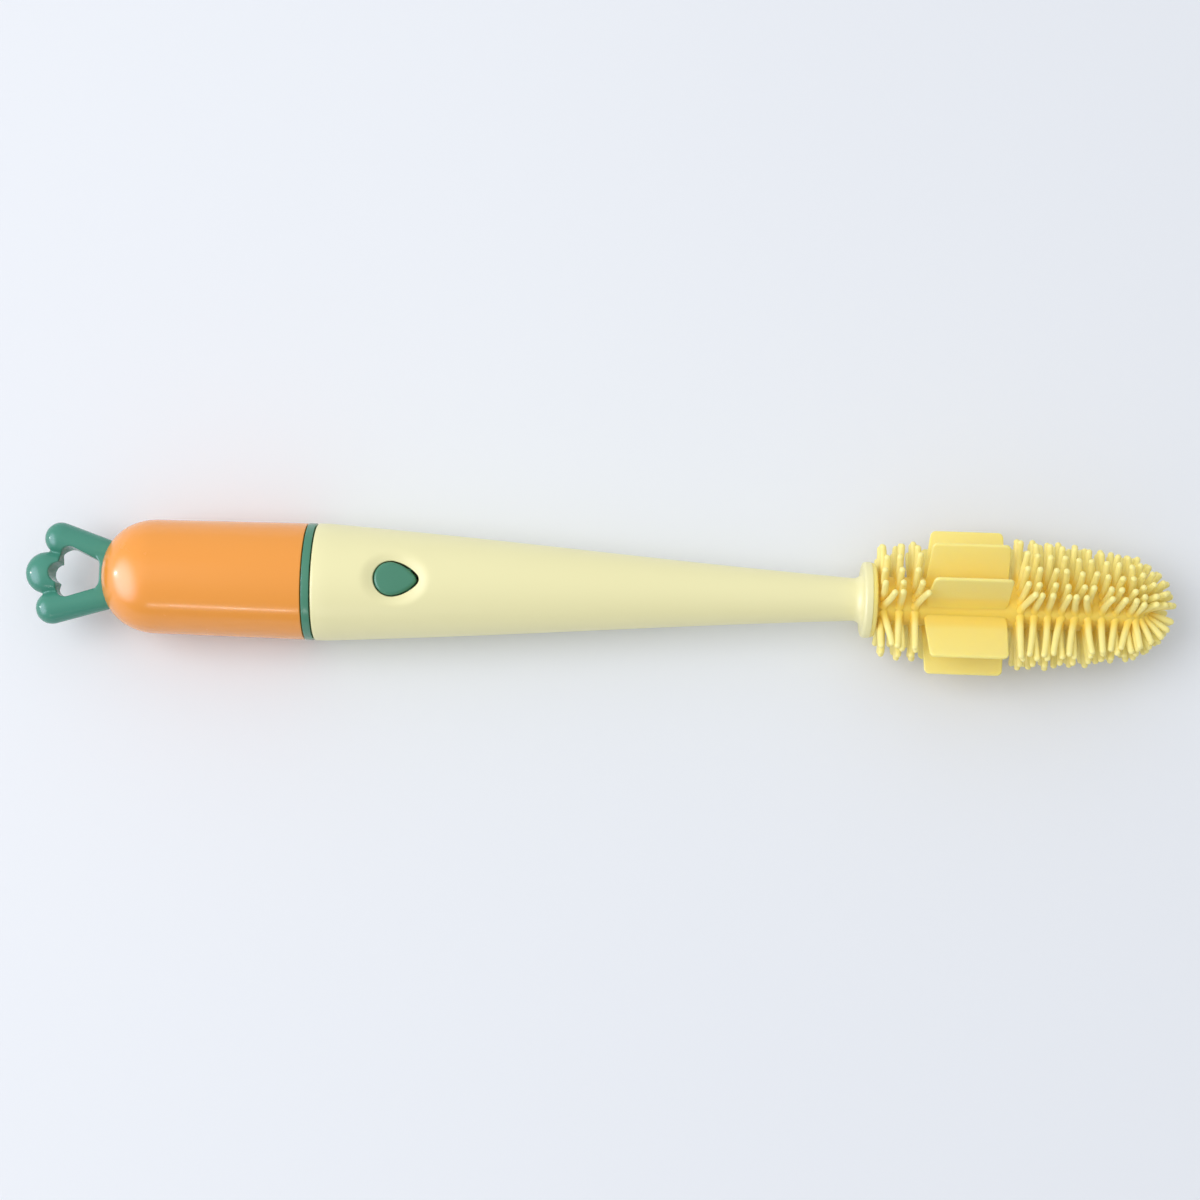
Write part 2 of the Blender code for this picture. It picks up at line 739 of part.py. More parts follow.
def laid_down(root, tip, clearance):
    """Swings a tip round its root until it clears the floor, away from straight below."""
    if tip.z >= clearance:
        return tip
    reach = (tip - root).yz.length
    drop = clearance - root.z
    side = 1 if root.y > 0 else -1
    return Vector((tip.x, root.y + side * math.sqrt(reach ** 2 - drop ** 2), clearance))


def held_up(root, tip, clearance):
    """Shortens a strand whose tip would reach into the floor."""
    if tip.z >= clearance:
        return tip
    return root.lerp(tip, (root.z - clearance) / (root.z - tip.z))


def strands_object(name, strands, radius):
    """Four-sided tapering strands, each from its root to its tip."""
    curve = bpy.data.curves.new(name, "CURVE")
    curve.dimensions = "3D"
    curve.fill_mode = "FULL"
    curve.use_fill_caps = True
    curve.bevel_depth = radius
    curve.bevel_resolution = 0
    for strand in strands:
        spline = curve.splines.new("POLY")
        spline.points.add(1)
        for point, place, share in zip(spline.points, strand, (1.0, STRAND_TIP_SHARE)):
            point.co = (*place, 1.0)
            point.radius = share
    obj = bpy.data.objects.new(name, curve)
    PARTS.objects.link(obj)
    return as_cutter(mesh_of(obj))


def segment_gap(first, second, radius):
    """Least gap between two tapering strands, sampled along both."""
    least = math.inf
    count = 12
    for i in range(count + 1):
        thick = radius * (1.0 + (STRAND_TIP_SHARE - 1.0) * i / count)
        a = first[0].lerp(first[1], i / count)
        for j in range(count + 1):
            other = radius * (1.0 + (STRAND_TIP_SHARE - 1.0) * j / count)
            least = min(least, (a - second[0].lerp(second[1], j / count)).length - thick - other)
    return least


def least_gap(strands, radius):
    """Least gap between any two strands of a brush head."""
    least = math.inf
    near = 4 * radius
    for i, first in enumerate(strands):
        for second in strands[i + 1:]:
            if min((first[k] - second[k]).length for k in (0, 1)) < near:
                least = min(least, segment_gap(first, second, radius))
    return least


def row_strands(x, root_radius, tip_radius, rows, chance, wander):
    strands = []
    for root_angle in rows:
        root = on_sleeve(x, root_radius, root_angle)
        reach = tip_radius + chance.uniform(-wander, wander) / 2
        tip = on_sleeve(x, reach, lean(root_angle, STRAND_TURN))
        tip.x += chance.uniform(-wander, wander)
        tip = held_up(root, tip, STRAND_RADIUS * STRAND_TIP_SHARE)
        strands.append([root, tip])
    return strands


def head_strands():
    chance = random.Random(11)
    rows = [FIRST_ROW + ROW_PITCH * i for i in range(2 * ROWS_PER_HALF)]
    root_radius = SLEEVE_RADIUS - STRAND_ROOT_DEPTH
    strands = []
    for column in range(REAR_COLUMNS):
        x = HEAD_X + REAR_START + column * REAR_PITCH
        tip_radius = REAR_TIP_RADIUS + column * REAR_TIP_RISE
        strands += row_strands(x, root_radius, tip_radius, rows, chance, STRAND_WANDER)
    for column in range(FRONT_COLUMNS):
        x = HEAD_X + FRONT_START + column * FRONT_PITCH
        ahead = column * FRONT_PITCH
        tip_radius = FRONT_TIP_RADIUS - FRONT_TIP_SLOPE * ahead - ahead ** 2 / (2 * FRONT_TIP_CURVE)
        strands += row_strands(x, root_radius, tip_radius, rows, chance, STRAND_WANDER)
    for count, (ring_radius, tip_out, tip_radius) in zip(NOSE_COUNTS, NOSE_RINGS):
        for i in range(count):
            angle = rows[0] + 360.0 / count * (i + 0.5)
            surface = on_sleeve(nose_surface(ring_radius), ring_radius, angle)
            tip = on_sleeve(NOSE_X + tip_out, tip_radius, angle)
            root = surface - (tip - surface).normalized() * STRAND_ROOT_DEPTH
            strands.append([root, tip])
    return strands


def nose_surface(radius):
    """Where the rounded nose of the sleeve has a radius."""
    return NOSE_X - NOSE_LENGTH + NOSE_LENGTH * math.sqrt(1 - (radius / SLEEVE_RADIUS) ** 2)


def build_fin(root_angle):
    """One straight blade, from inside the sleeve to its rounded tip corners."""
    start = HEAD_X + FIN_START
    root = on_sleeve(start, SLEEVE_RADIUS - FIN_THICKNESS / 2, root_angle)
    tip = laid_down(root, on_sleeve(start, FIN_TIP_RADIUS, lean(root_angle, FIN_TURN)), 0.0)
    height = (tip - root).length
    # Stations up the blade: height, and how far the rounded corners draw the ends in there
    stations = [(0.0, 0.0), (height / 2, 0.0)]
    for turn in (0.0, 45.0, 90.0):
        angle = math.radians(turn)
        stations.append(
            (height - FIN_CORNER * (1 - math.sin(angle)), FIN_CORNER * (1 - math.cos(angle)))
        )
    spans = len(stations) - 1
    bm = bmesh.new()
    bmesh.ops.create_grid(bm, x_segments=3, y_segments=spans, size=0.5)
    for vert in bm.verts:
        up, cut = stations[round((vert.co.y + 0.5) * spans)]
        share = up / height
        low = FIN_TIP_INSET_REAR * share + cut
        high = FIN_LENGTH - FIN_TIP_INSET_FRONT * share - cut
        across = (low, low + FIN_CORNER, high - FIN_CORNER, high)[round((vert.co.x + 0.5) * 3)]
        vert.co = root.lerp(tip, share)
        vert.co.x += across
    mesh = bpy.data.meshes.new("fin")
    bm.to_mesh(mesh)
    bm.free()
    fin = add_object("fin", mesh, None)
    solid = fin.modifiers.new("thickness", "SOLIDIFY")
    solid.thickness = FIN_THICKNESS
    solid.offset = 0.0
    return mesh_of(fin)


def joined(name, objects):
    """Several closed shapes as one cutter."""
    bm = bmesh.new()
    for obj in objects:
        part = obj.data.copy()
        part.transform(obj.matrix_world)
        bm.from_mesh(part)
        bpy.data.meshes.remove(part)
        bpy.data.objects.remove(obj, do_unlink=True)
    mesh = bpy.data.meshes.new(name)
    bm.to_mesh(mesh)
    bm.free()
    return as_cutter(add_object(name, mesh, None))


def build_head():
    nose = arc(0.0, 0.0, 1.0, 0, 90, 5)
    nose = [(NOSE_X - NOSE_LENGTH + NOSE_LENGTH * x, SLEEVE_RADIUS * r) for x, r in nose]
    base_end = HEAD_X + BASE_THICKNESS
    bore_end = NOSE_X - NOSE_WALL
    profile = [
        *nose,
        (base_end + BASE_EDGE, SLEEVE_RADIUS),
        (base_end, SLEEVE_RADIUS + BASE_EDGE),
        (base_end, BASE_RADIUS - BASE_EDGE),
        (base_end - BASE_EDGE, BASE_RADIUS),
        (HEAD_X, BASE_RADIUS),
        (HEAD_X, ROD_BORE),
        (bore_end, ROD_BORE),
        (bore_end, 0.0),
    ]
    head = turned(
        "silicone_head", profile, SILICONE, SLEEVE_FACETS, middle_of_facet=180.0 - FIRST_ROW
    )
    strands = head_strands()
    gap = least_gap(strands, STRAND_RADIUS)
    print("head strands:", len(strands), "least gap mm:", round(gap / MM, 2))
    fins = []
    for i in range(FIN_COUNT):
        fins.append(build_fin(MOULD_MIDDLE + 360.0 / FIN_COUNT * (i + 0.5)))
    boolean(head, joined("fins", fins), "UNION")
    boolean(head, strands_object("strands", strands, STRAND_RADIUS), "UNION")
    # The soft tips that it lies on are pressed flat
    reach = FIN_TIP_RADIUS * 2
    floor = block("floor", (HEAD_X, -reach, -reach), (NOSE_X + reach, reach, 0.0))
    boolean(head, as_cutter(floor), "DIFFERENCE")
    return finished(head)


def build_small_brush():
    end = RING_END_X + SMALL_BRUSH_REACH
    sleeve_length = (SMALL_COLUMNS - 1) * SMALL_PITCH + 2 * SMALL_END
    start = end - sleeve_length
    sleeve_radius = STEM_BORE + SMALL_SLEEVE_WALL
    stem_end = end - SMALL_END
    stem_start = STEM_SOCKET_X + GAP
    stem = turned(
        "small_brush_stem",
        [
            (stem_end - GAP, 0.0),
            (stem_end - GAP, STEM_RADIUS),
            (stem_start, STEM_RADIUS),
            (stem_start, 0.0),
        ],
        CORE_WHITE,
        facets=ROD_FACETS,
    )
    sleeve = turned(
        "small_brush_bristles",
        [
            (end, 0.0),
            (end, sleeve_radius / 2),
            (end - SMALL_END / 2, sleeve_radius),
            (start, sleeve_radius),
            (start, STEM_BORE),
            (stem_end, STEM_BORE),
            (stem_end, 0.0),
        ],
        SILICONE,
        facets=SMALL_ROWS,
        middle_of_facet=180.0 / SMALL_ROWS,
    )
    strands = []
    for column in range(SMALL_COLUMNS):
        x = start + SMALL_END + column * SMALL_PITCH
        for row in range(SMALL_ROWS):
            angle = 360.0 / SMALL_ROWS * (row + 0.5)
            root = on_sleeve(x, sleeve_radius - SMALL_SLEEVE_WALL / 2, angle)
            tip = on_sleeve(x, SMALL_TIP_RADIUS, angle)
            strands.append([root, tip])
    gap = least_gap(strands, SMALL_STRAND_RADIUS)
    print("small brush strands:", len(strands), "least gap mm:", round(gap / MM, 2))
    boolean(sleeve, strands_object("small_strands", strands, SMALL_STRAND_RADIUS), "UNION")
    return finished(stem, PULL), finished(sleeve, PULL)


HINGE = add_empty("button_hinge", HINGE_X, AXIS_HEIGHT + TONGUE_TOP - TONGUE_THICKNESS / 2)
hold(HINGE, PULL)

build_handle()
build_core_rod()
build_head()
build_grip()
build_collar()
build_leaf()
build_button()
build_small_brush()
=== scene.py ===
# %% [markdown]
# # A bottle brush with a pull-out grip
#
# The real object is a kitchen brush of plain mouldings: a green leaf to hang it by, a glossy orange
# grip, a green collar, a long cream handle with a latch button, and a soft yellow silicone head.
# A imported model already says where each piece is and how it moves, but its solids are plain and
# faceted. So each moulding is made here again as a smooth surface in the same place, and finished.

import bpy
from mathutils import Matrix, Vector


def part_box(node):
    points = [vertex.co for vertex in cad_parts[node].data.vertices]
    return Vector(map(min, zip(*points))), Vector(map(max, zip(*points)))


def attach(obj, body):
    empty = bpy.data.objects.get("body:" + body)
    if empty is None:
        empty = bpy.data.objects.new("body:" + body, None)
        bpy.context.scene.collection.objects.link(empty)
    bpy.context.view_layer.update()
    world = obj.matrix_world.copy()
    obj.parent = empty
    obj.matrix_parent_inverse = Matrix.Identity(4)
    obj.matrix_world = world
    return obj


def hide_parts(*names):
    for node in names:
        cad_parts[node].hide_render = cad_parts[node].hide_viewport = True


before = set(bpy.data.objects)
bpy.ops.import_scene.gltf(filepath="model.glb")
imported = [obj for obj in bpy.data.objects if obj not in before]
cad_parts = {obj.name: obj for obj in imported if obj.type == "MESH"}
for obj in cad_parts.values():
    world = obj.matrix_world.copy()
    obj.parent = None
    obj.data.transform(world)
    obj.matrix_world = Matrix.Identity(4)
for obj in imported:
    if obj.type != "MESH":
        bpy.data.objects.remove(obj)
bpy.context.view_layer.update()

# %% Blender's modules
import math
import random

import bmesh
import bpy
from mathutils import Matrix, Vector

# %% [markdown]
# ## Where things are
#
# The brush lies along X, with its leaf at -X and its head at +X, and its axis is level. Stations
# along it come from the boxes of the solids, so that every smooth moulding stands exactly where
# its solid does. Only sizes inside a piece are typed.

# %% Stations along the brush
MM = 0.001
handle_low, handle_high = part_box("handle_shell")
grip_low, grip_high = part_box("grip_shell")
head_low, head_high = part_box("silicone_head")
leaf_low, leaf_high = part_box("leaf_loop")
tongue_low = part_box("release_button")[0]
GAP = 0.3 * MM
HAIR = 0.01 * MM
TUFT_LENGTH = 16.2 * MM
MOUTH_X = handle_low.x
HANDLE_END_X = handle_high.x
WIDE_RADIUS = (handle_high.y - handle_low.y) / 2
AXIS_Z = WIDE_RADIUS
DOME_TIP_X = grip_low.x
GRIP_END_X = grip_high.x
RING_X = GRIP_END_X + GAP
RING_END_X = MOUTH_X - GAP
HEAD_X = head_low.x
NOSE_START = head_high.x - TUFT_LENGTH
print("grip, collar and handle start at, mm:", [round(x / MM, 1) for x in (DOME_TIP_X, RING_X, MOUTH_X)])

# %% [markdown]
# ## Helpers for turned mouldings
#
# Most of this brush was designed on a lathe: a profile of distance along the axis and radius, turned
# once. A real moulding has no sharp corner, because plastic doesn't fill one, so `rounded` puts an
# arc of its own radius into each corner of a profile. `bridge` joins two rings of vertices with faces,
# and a ring of a single vertex is a pole.

# %% Profiles, rings and lathe
FINE = 160
POLE = 0.001 * MM


def rounded(corners, steps=5):
    """Points (x, r) of a profile whose inner corners (x, r, fillet) are rounded."""
    points = [Vector(corners[0][:2])]
    for before, corner, after in zip(corners, corners[1:], corners[2:]):
        here = Vector(corner[:2])
        if corner[2] == 0.0:
            points.append(here)
            continue
        back = (Vector(before[:2]) - here).normalized()
        ahead = (Vector(after[:2]) - here).normalized()
        half = back.angle(ahead) / 2
        centre = here + (back + ahead).normalized() * corner[2] / math.sin(half)
        start = here + back * corner[2] / math.tan(half) - centre
        end = here + ahead * corner[2] / math.tan(half) - centre
        for i in range(steps + 1):
            points.append(centre + start.slerp(end, i / steps) * corner[2])
    points.append(Vector(corners[-1][:2]))
    return points


def bridge(bm, first, second):
    """Faces between two rings of vertices."""
    count = max(len(first), len(second))
    for i in range(count):
        j = (i + 1) % count
        corners = [first[i % len(first)], first[j % len(first)]]
        corners += [second[j % len(second)], second[i % len(second)]]
        bm.faces.new(dict.fromkeys(corners))


def skin(bm, rings, *ends):
    """Faces between each ring and the next, and over the rings given as ends."""
    for first, second in zip(rings, rings[1:]):
        bridge(bm, first, second)
    for ring in ends:
        bm.faces.new(ring)


def lathe(profile, segments=FINE, closed=False):
    """Turns a profile of (x, r) points round the brush's axis; returns a bmesh and its rings."""
    bm = bmesh.new()
    rings = []
    for x, r in profile:
        count = segments if r > POLE else 1
        turns = [2 * math.pi * i / segments for i in range(count)]
        rings.append([bm.verts.new((x, r * math.sin(t), AXIS_Z + r * math.cos(t))) for t in turns])
    skin(bm, rings + rings[:1] if closed else rings)
    return bm, rings


# %% [markdown]
# ## Cutting and finishing helpers
#
# A window or a slot is cut with a Boolean, a modifier that needs closed meshes on real objects.
# `carved` makes two throwaway objects for it and hands back a new bmesh, so no modifier stays behind.
# `add_piece` turns a finished bmesh into a shown object: smooth shaded, with its material, riding on
# the body that carries it.

# %% Cut, union and piece
FINISHES = {}
SHARP_ANGLE = 40.0


def as_object(name, bm):
    """A new object in the scene, made from a bmesh."""
    mesh = bpy.data.meshes.new(name)
    bm.to_mesh(mesh)
    bm.free()
    made = bpy.data.objects.new(name, mesh)
    bpy.context.scene.collection.objects.link(made)
    return made


def as_bmesh(shape, *others):
    """An object's shape after its modifiers, as a bmesh; all the objects given are deleted."""
    bpy.context.view_layer.update()
    result = bmesh.new()
    result.from_object(shape, bpy.context.evaluated_depsgraph_get())
    for used in (shape, *others):
        bpy.data.meshes.remove(used.data)
    return result


def carved(bm, tool_bm, operation="DIFFERENCE"):
    """One closed bmesh cut with, or joined to, another."""
    for source in (bm, tool_bm):
        bmesh.ops.recalc_face_normals(source, faces=source.faces)
    shape = as_object("carved", bm)
    tool = as_object("tool", tool_bm)
    cut = shape.modifiers.new("cut", "BOOLEAN")
    cut.operation = operation
    cut.solver = "EXACT"
    cut.object = tool
    return as_bmesh(shape, tool)


def add_piece(name, bm, body, slot, *stands_for):
    """Shows a moulding, riding on its body in place of its solids."""
    bmesh.ops.recalc_face_normals(bm, faces=bm.faces)
    piece = as_object(name, bm)
    piece.data.shade_smooth()
    piece.data.set_sharp_from_angle(angle=math.radians(SHARP_ANGLE))
    piece.data.materials.append(FINISHES[name])
    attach(piece, body)
    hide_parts(*stands_for)
    print(name, "has", len(piece.data.polygons), "faces")


# %% [markdown]
# ## Finishes: shared effects
#
# Every moulding here shares a few traits. Its surface copies the faint grain of a steel mould, its
# colour drifts a little over its length, and handling leaves dull smudges. Each is a node group
# that puts out one number, built once and used in every material with its own values. All three
# are noise over the piece's own space, so the pattern stays on the piece when it moves.

# %% Node helpers
def adjust(made, **values):
    """Sets a node's input sockets, with _ for each space, and its other settings by name."""
    for label, value in values.items():
        socket = label.replace("_", " ")
        if socket in made.inputs:
            made.inputs[socket].default_value = value
        else:
            setattr(made, label, value)


def node(tree, kind, **values):
    """A new node with its settings."""
    made = tree.nodes.new("ShaderNode" + kind)
    adjust(made, **values)
    return made


def wire(tree, source, output, target, socket):
    """A link from one node's output to another node's input."""
    tree.links.new(source.outputs[output], target.inputs[socket])


# %% Mould grain, tone drift and smudges
def noise_group(name, inputs, output, **noise_values):
    """A group with noise over a piece's own space; returns it, its ends and its noise."""
    group = bpy.data.node_groups.new(name, "ShaderNodeTree")
    for label in inputs:
        group.interface.new_socket(label, in_out="INPUT", socket_type="NodeSocketFloat")
    group.interface.new_socket(output, in_out="OUTPUT", socket_type="NodeSocketFloat")
    inlet, outlet = group.nodes.new("NodeGroupInput"), group.nodes.new("NodeGroupOutput")
    noise = node(group, "TexNoise", **noise_values)
    wire(group, node(group, "TexCoord"), "Object", noise, "Vector")
    wire(group, inlet, "Scale", noise, "Scale")
    return group, inlet, outlet, noise


grain_group, inlet, outlet, noise = noise_group(
    "mould_grain", ["Scale"], "Height", Detail=3.0, Roughness=0.6
)
wire(grain_group, noise, "Fac", outlet, "Height")
tone_group, inlet, outlet, noise = noise_group(
    "tone_drift", ["Scale"], "Mask", Detail=1.0, Roughness=0.4
)
wire(tone_group, noise, "Fac", outlet, "Mask")
smudge_group, inlet, outlet, noise = noise_group(
    "smudges", ["Scale", "Low", "High"], "Roughness", Detail=4.0, Roughness=0.7, Distortion=0.6
)
between = node(smudge_group, "MapRange", From_Min=0.35, From_Max=0.7)
wire(smudge_group, noise, "Fac", between, "Value")
wire(smudge_group, inlet, "Low", between, "To Min")
wire(smudge_group, inlet, "High", between, "To Max")
wire(smudge_group, between, "Result", outlet, "Roughness")
print("node groups:", [group.name for group in bpy.data.node_groups])

# %% [markdown]
# ## Finishes: the plastics
#
# The orange grip and the green mouldings are glossy ABS, so a window shows in them as a clear patch.
# The grip has a clear, harder gloss on top, which the coat stands for: it keeps the thin line of
# light crisp over the softer patch. The leaf's tone is a little bluer than the ring's, as painted
# reflection of the bluish window, and it mirrors less. The cream handle is a satin plastic. One function
# makes them all: two close tones mixed by the tone drift, a roughness that the smudges vary, and a very
# shallow grain.

# %% Moulded plastic
def from_screen(red, green, blue):
    """A colour as a screen shows it, 0 to 255, as the linear colour that a shader takes."""
    shares = [value / 255 for value in (red, green, blue)]
    return [s / 12.92 if s < 0.04045 else ((s + 0.055) / 1.055) ** 2.4 for s in shares] + [1.0]


def new_finish(name, **values):
    """A material with its Principled shader set; returns it, its tree and the shader."""
    mat = bpy.data.materials.new(name)
    mat.use_nodes = True
    shader = mat.node_tree.nodes["Principled BSDF"]
    adjust(shader, **values)
    return mat, mat.node_tree, shader


def add_tones(tree, shader, mask, output, first, second):
    """A mask that mixes two screen colours into a shader's colour."""
    mix = node(tree, "Mix", data_type="RGBA", A=from_screen(*first), B=from_screen(*second))
    wire(tree, mask, output, mix, "Factor")
    wire(tree, mix, "Result", shader, "Base Color")


def add_smudges(tree, shader, scale, gloss, dull):
    """Smudges that vary a shader's roughness."""
    smudges = node(tree, "Group", node_tree=smudge_group, Scale=scale, Low=gloss, High=dull)
    wire(tree, smudges, "Roughness", shader, "Roughness")


def add_grain(tree, shader, scale, depth):
    """The mould's grain, as a bump in a shader's normal."""
    grain = node(tree, "Group", node_tree=grain_group, Scale=scale)
    bump = node(tree, "Bump", Strength=1.0, Distance=depth)
    wire(tree, grain, "Height", bump, "Height")
    wire(tree, bump, "Normal", shader, "Normal")


def moulded_plastic(name, tone, deep, gloss, dull, grain_depth, coat=0.0, mirror=0.5):
    """A plastic that drifts between two tones and between a glossy and a dull roughness."""
    mat, tree, shader = new_finish(
        name, IOR=1.5, Specular_IOR_Level=mirror, Coat_Weight=coat, Coat_Roughness=0.05
    )
    drift = node(tree, "Group", node_tree=tone_group, Scale=14.0)
    add_tones(tree, shader, drift, "Mask", tone, deep)
    add_smudges(tree, shader, 60.0, gloss, dull)
    add_grain(tree, shader, 900.0, grain_depth)
    return mat


ORANGE = moulded_plastic(
    "orange_plastic", (245, 160, 62), (242, 154, 56), 0.2, 0.28, 0.003 * MM, coat=0.25
)
GREEN = moulded_plastic("green_plastic", (73, 138, 112), (68, 133, 107), 0.2, 0.27, 0.006 * MM)
# The leaf's bluer tone is painted reflection of the bluish window.
LEAF_GREEN = moulded_plastic(
    "leaf_plastic", (76, 147, 129), (70, 141, 122), 0.17, 0.23, 0.006 * MM, mirror=0.35
)
CREAM = moulded_plastic("cream_plastic", (242, 236, 184), (239, 232, 177), 0.32, 0.4, 0.01 * MM)
CORE = moulded_plastic("core_plastic", (232, 230, 220), (226, 224, 212), 0.4, 0.5, 0.015 * MM)
print("plastics:", [mat.name for mat in (ORANGE, GREEN, LEAF_GREEN, CREAM, CORE)])

# %% [markdown]
# ## Finishes: silicone
#
# Silicone rubber lets light in, which then scatters and comes out deeper in colour. That is why the
# tips of the strands are pale and the gaps between them glow a strong yellow. The sleeve and fins
# get it from subsurface scattering. That turns strands as thin as these greenish, so they have little
# of it and more of a warm sheen. In both, the deeper colour is also painted shade: a mask by distance
# from the brush's axis deepens the colour near the sleeve, where light bounces between the strands.
# Past the start of the round nose, the distance is taken from that point, so that the strands there
# pale towards their tips too.

# %% Silicone
def soft_silicone(name, tip_tone, shaded_root_tone, scattering, bloom, full_shade_radius, tip_radius, nose_x):
    """A translucent rubber, with painted shade that deepens it from its tips to its roots."""
    mat, tree, shader = new_finish(name, IOR=1.41, Subsurface_Weight=scattering, Sheen_Weight=bloom)
    adjust(shader, Subsurface_Radius=(1.0, 0.95, 0.4), Subsurface_Scale=1.0 * MM)
    adjust(shader, Sheen_Roughness=0.4, Sheen_Tint=(1.0, 0.78, 0.3, 1.0))
    place = node(tree, "TexCoord")
    split = node(tree, "SeparateXYZ")
    wire(tree, place, "Object", split, "Vector")
    height = node(tree, "Math", operation="SUBTRACT")
    height.inputs[1].default_value = AXIS_Z
    wire(tree, split, "Z", height, 0)
    past_nose = node(tree, "MapRange", From_Min=nose_x, From_Max=nose_x + 1.0, To_Min=0.0, To_Max=1.0)
    wire(tree, split, "X", past_nose, "Value")
    away = node(tree, "CombineXYZ")
    wire(tree, past_nose, "Result", away, "X")
    wire(tree, split, "Y", away, "Y")
    wire(tree, height, "Value", away, "Z")
    distance = node(tree, "VectorMath", operation="LENGTH")
    wire(tree, away, "Vector", distance, 0)
    # Painted shade: the colour deepens towards the sleeve, as light bouncing between the strands would
    # deepen it.
    fade = node(tree, "MapRange", interpolation_type="SMOOTHSTEP")
    adjust(fade, From_Min=full_shade_radius, From_Max=tip_radius)
    wire(tree, distance, "Value", fade, "Value")
    add_tones(tree, shader, fade, "Result", shaded_root_tone, tip_tone)
    add_smudges(tree, shader, 90.0, 0.42, 0.55)
    add_grain(tree, shader, 1400.0, 0.01 * MM)
    return mat


# %% The rubbers, and a finish for each piece
# Painted shade near the sleeve: full within the first distance from the axis, gone beyond the second.
HEAD_SHADE_FADE = (7.0 * MM, 12.5 * MM, NOSE_START)
SMALL_SHADE_FADE = (3.0 * MM, 7.0 * MM, HEAD_X)
STRAND_LOOK = ((255, 241, 156), (255, 220, 86), 0.15, 0.9)
SILICONE = soft_silicone("pale_silicone", (251, 232, 143), (251, 216, 96), 0.6, 0.3, *HEAD_SHADE_FADE)
STRAND_SILICONE = soft_silicone("strand_silicone", *STRAND_LOOK, *HEAD_SHADE_FADE)
SMALL_SILICONE = soft_silicone("small_silicone", *STRAND_LOOK, *SMALL_SHADE_FADE)
FINISHES.update(handle=CREAM, grip=ORANGE, collar=GREEN, leaf=LEAF_GREEN, latch_button=GREEN)
FINISHES.update(head_sleeve=SILICONE, head_fins=SILICONE, head_strands=STRAND_SILICONE)
FINISHES.update(refill_stem=CORE, refill_bristles=SMALL_SILICONE)
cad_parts["core_rod"].data.materials.clear()
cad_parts["core_rod"].data.materials.append(CORE)
print("finishes:", sorted({mat.name for mat in FINISHES.values()}))

# %% [markdown]
# ## The handle
#
# The handle is a hollow cone with a nearly straight taper, a flat rolling band at its mouth and a
# flange round its thin end, where the soft head starts. Its profile is turned with fine rings where
# the thumb dish will be, so that the dish can be pressed into the same mesh afterwards.

# %% Handle sizes
NECK_RADIUS = 6.5 * MM
REST_BAND = 4.0 * MM
TAPER_EASE = 0.2 * MM
FLANGE_RADIUS = 11.9 * MM
FLANGE_THICKNESS = 2.6 * MM
FLANGE_EDGE = 1.1 * MM
NECK_COVE = 2.6 * MM
NECK_X = HANDLE_END_X - FLANGE_THICKNESS
HANDLE_WALL = 2.2 * MM
MOUTH_BORE = WIDE_RADIUS - 2.8 * MM
BORE_END_X = MOUTH_X + 12.0 * MM
ROD_BORE = 3.7 * MM
ROD_PLUG_X = HANDLE_END_X - 34.2 * MM
CAVITY_X = ROD_PLUG_X - 6.0 * MM
DISH_X = MOUTH_X + 25.8 * MM


def handle_radius(x):
    """Outer radius of the handle."""
    taper_x = MOUTH_X + REST_BAND
    share = max(0.0, (x - taper_x) / (NECK_X - taper_x))
    taper = WIDE_RADIUS - (WIDE_RADIUS - NECK_RADIUS) * share
    return taper + TAPER_EASE * math.sin(2 * math.pi * share)


def stations(start, end, spacing):
    """Even steps from start, without the end."""
    count = max(1, round(abs(end - start) / spacing))
    return [start + (end - start) * i / count for i in range(count)]


print("radius at the dish, mm:", round(handle_radius(DISH_X) / MM, 2))

# %% [markdown]
# The thumb dish is a shallow scoop. As a formula it is a bowl: a floor height, the slope of the taper,
# and one curve along the brush and a flatter one across it. Each vertex of the skin takes the lower of
# its own height and the bowl's. A plain minimum would leave a sharp rim, so a soft minimum blends
# the two over about a millimetre, as on the moulding.

# %% Dish and hollow
DISH_DEPTH = 2.5 * MM
DISH_CURVE_ALONG = 19.5 * MM
DISH_CURVE_ACROSS = 80.0 * MM
DISH_RIM = 0.7 * MM
DISH_REACH = 14.0 * MM
DISH_RINGS = 0.35 * MM
DISH_FLOOR = handle_radius(DISH_X) - DISH_DEPTH
DISH_SLOPE = (handle_radius(DISH_X + MM) - handle_radius(DISH_X - MM)) / (2 * MM)
CEILING = DISH_FLOOR - 1.2 * MM
print("dish floor above the axis, mm:", round(DISH_FLOOR / MM, 2))


def dish_height(x, y):
    """Height of the dish above the brush's axis."""
    along = x - DISH_X
    bowl = along ** 2 / (2 * DISH_CURVE_ALONG) + y ** 2 / (2 * DISH_CURVE_ACROSS)
    return DISH_FLOOR + DISH_SLOPE * along + bowl


def soft_min(a, b, width):
    """The lower of two heights, blended where they are closer than width."""
    close = max(width - abs(a - b), 0.0) / width
    return min(a, b) - close ** 2 * width / 4


def skin_height(x, y):
    """Height of the handle's dished skin above the brush's axis."""
    plain = math.sqrt(handle_radius(x) ** 2 - y ** 2)
    return soft_min(plain, dish_height(x, y), DISH_RIM)


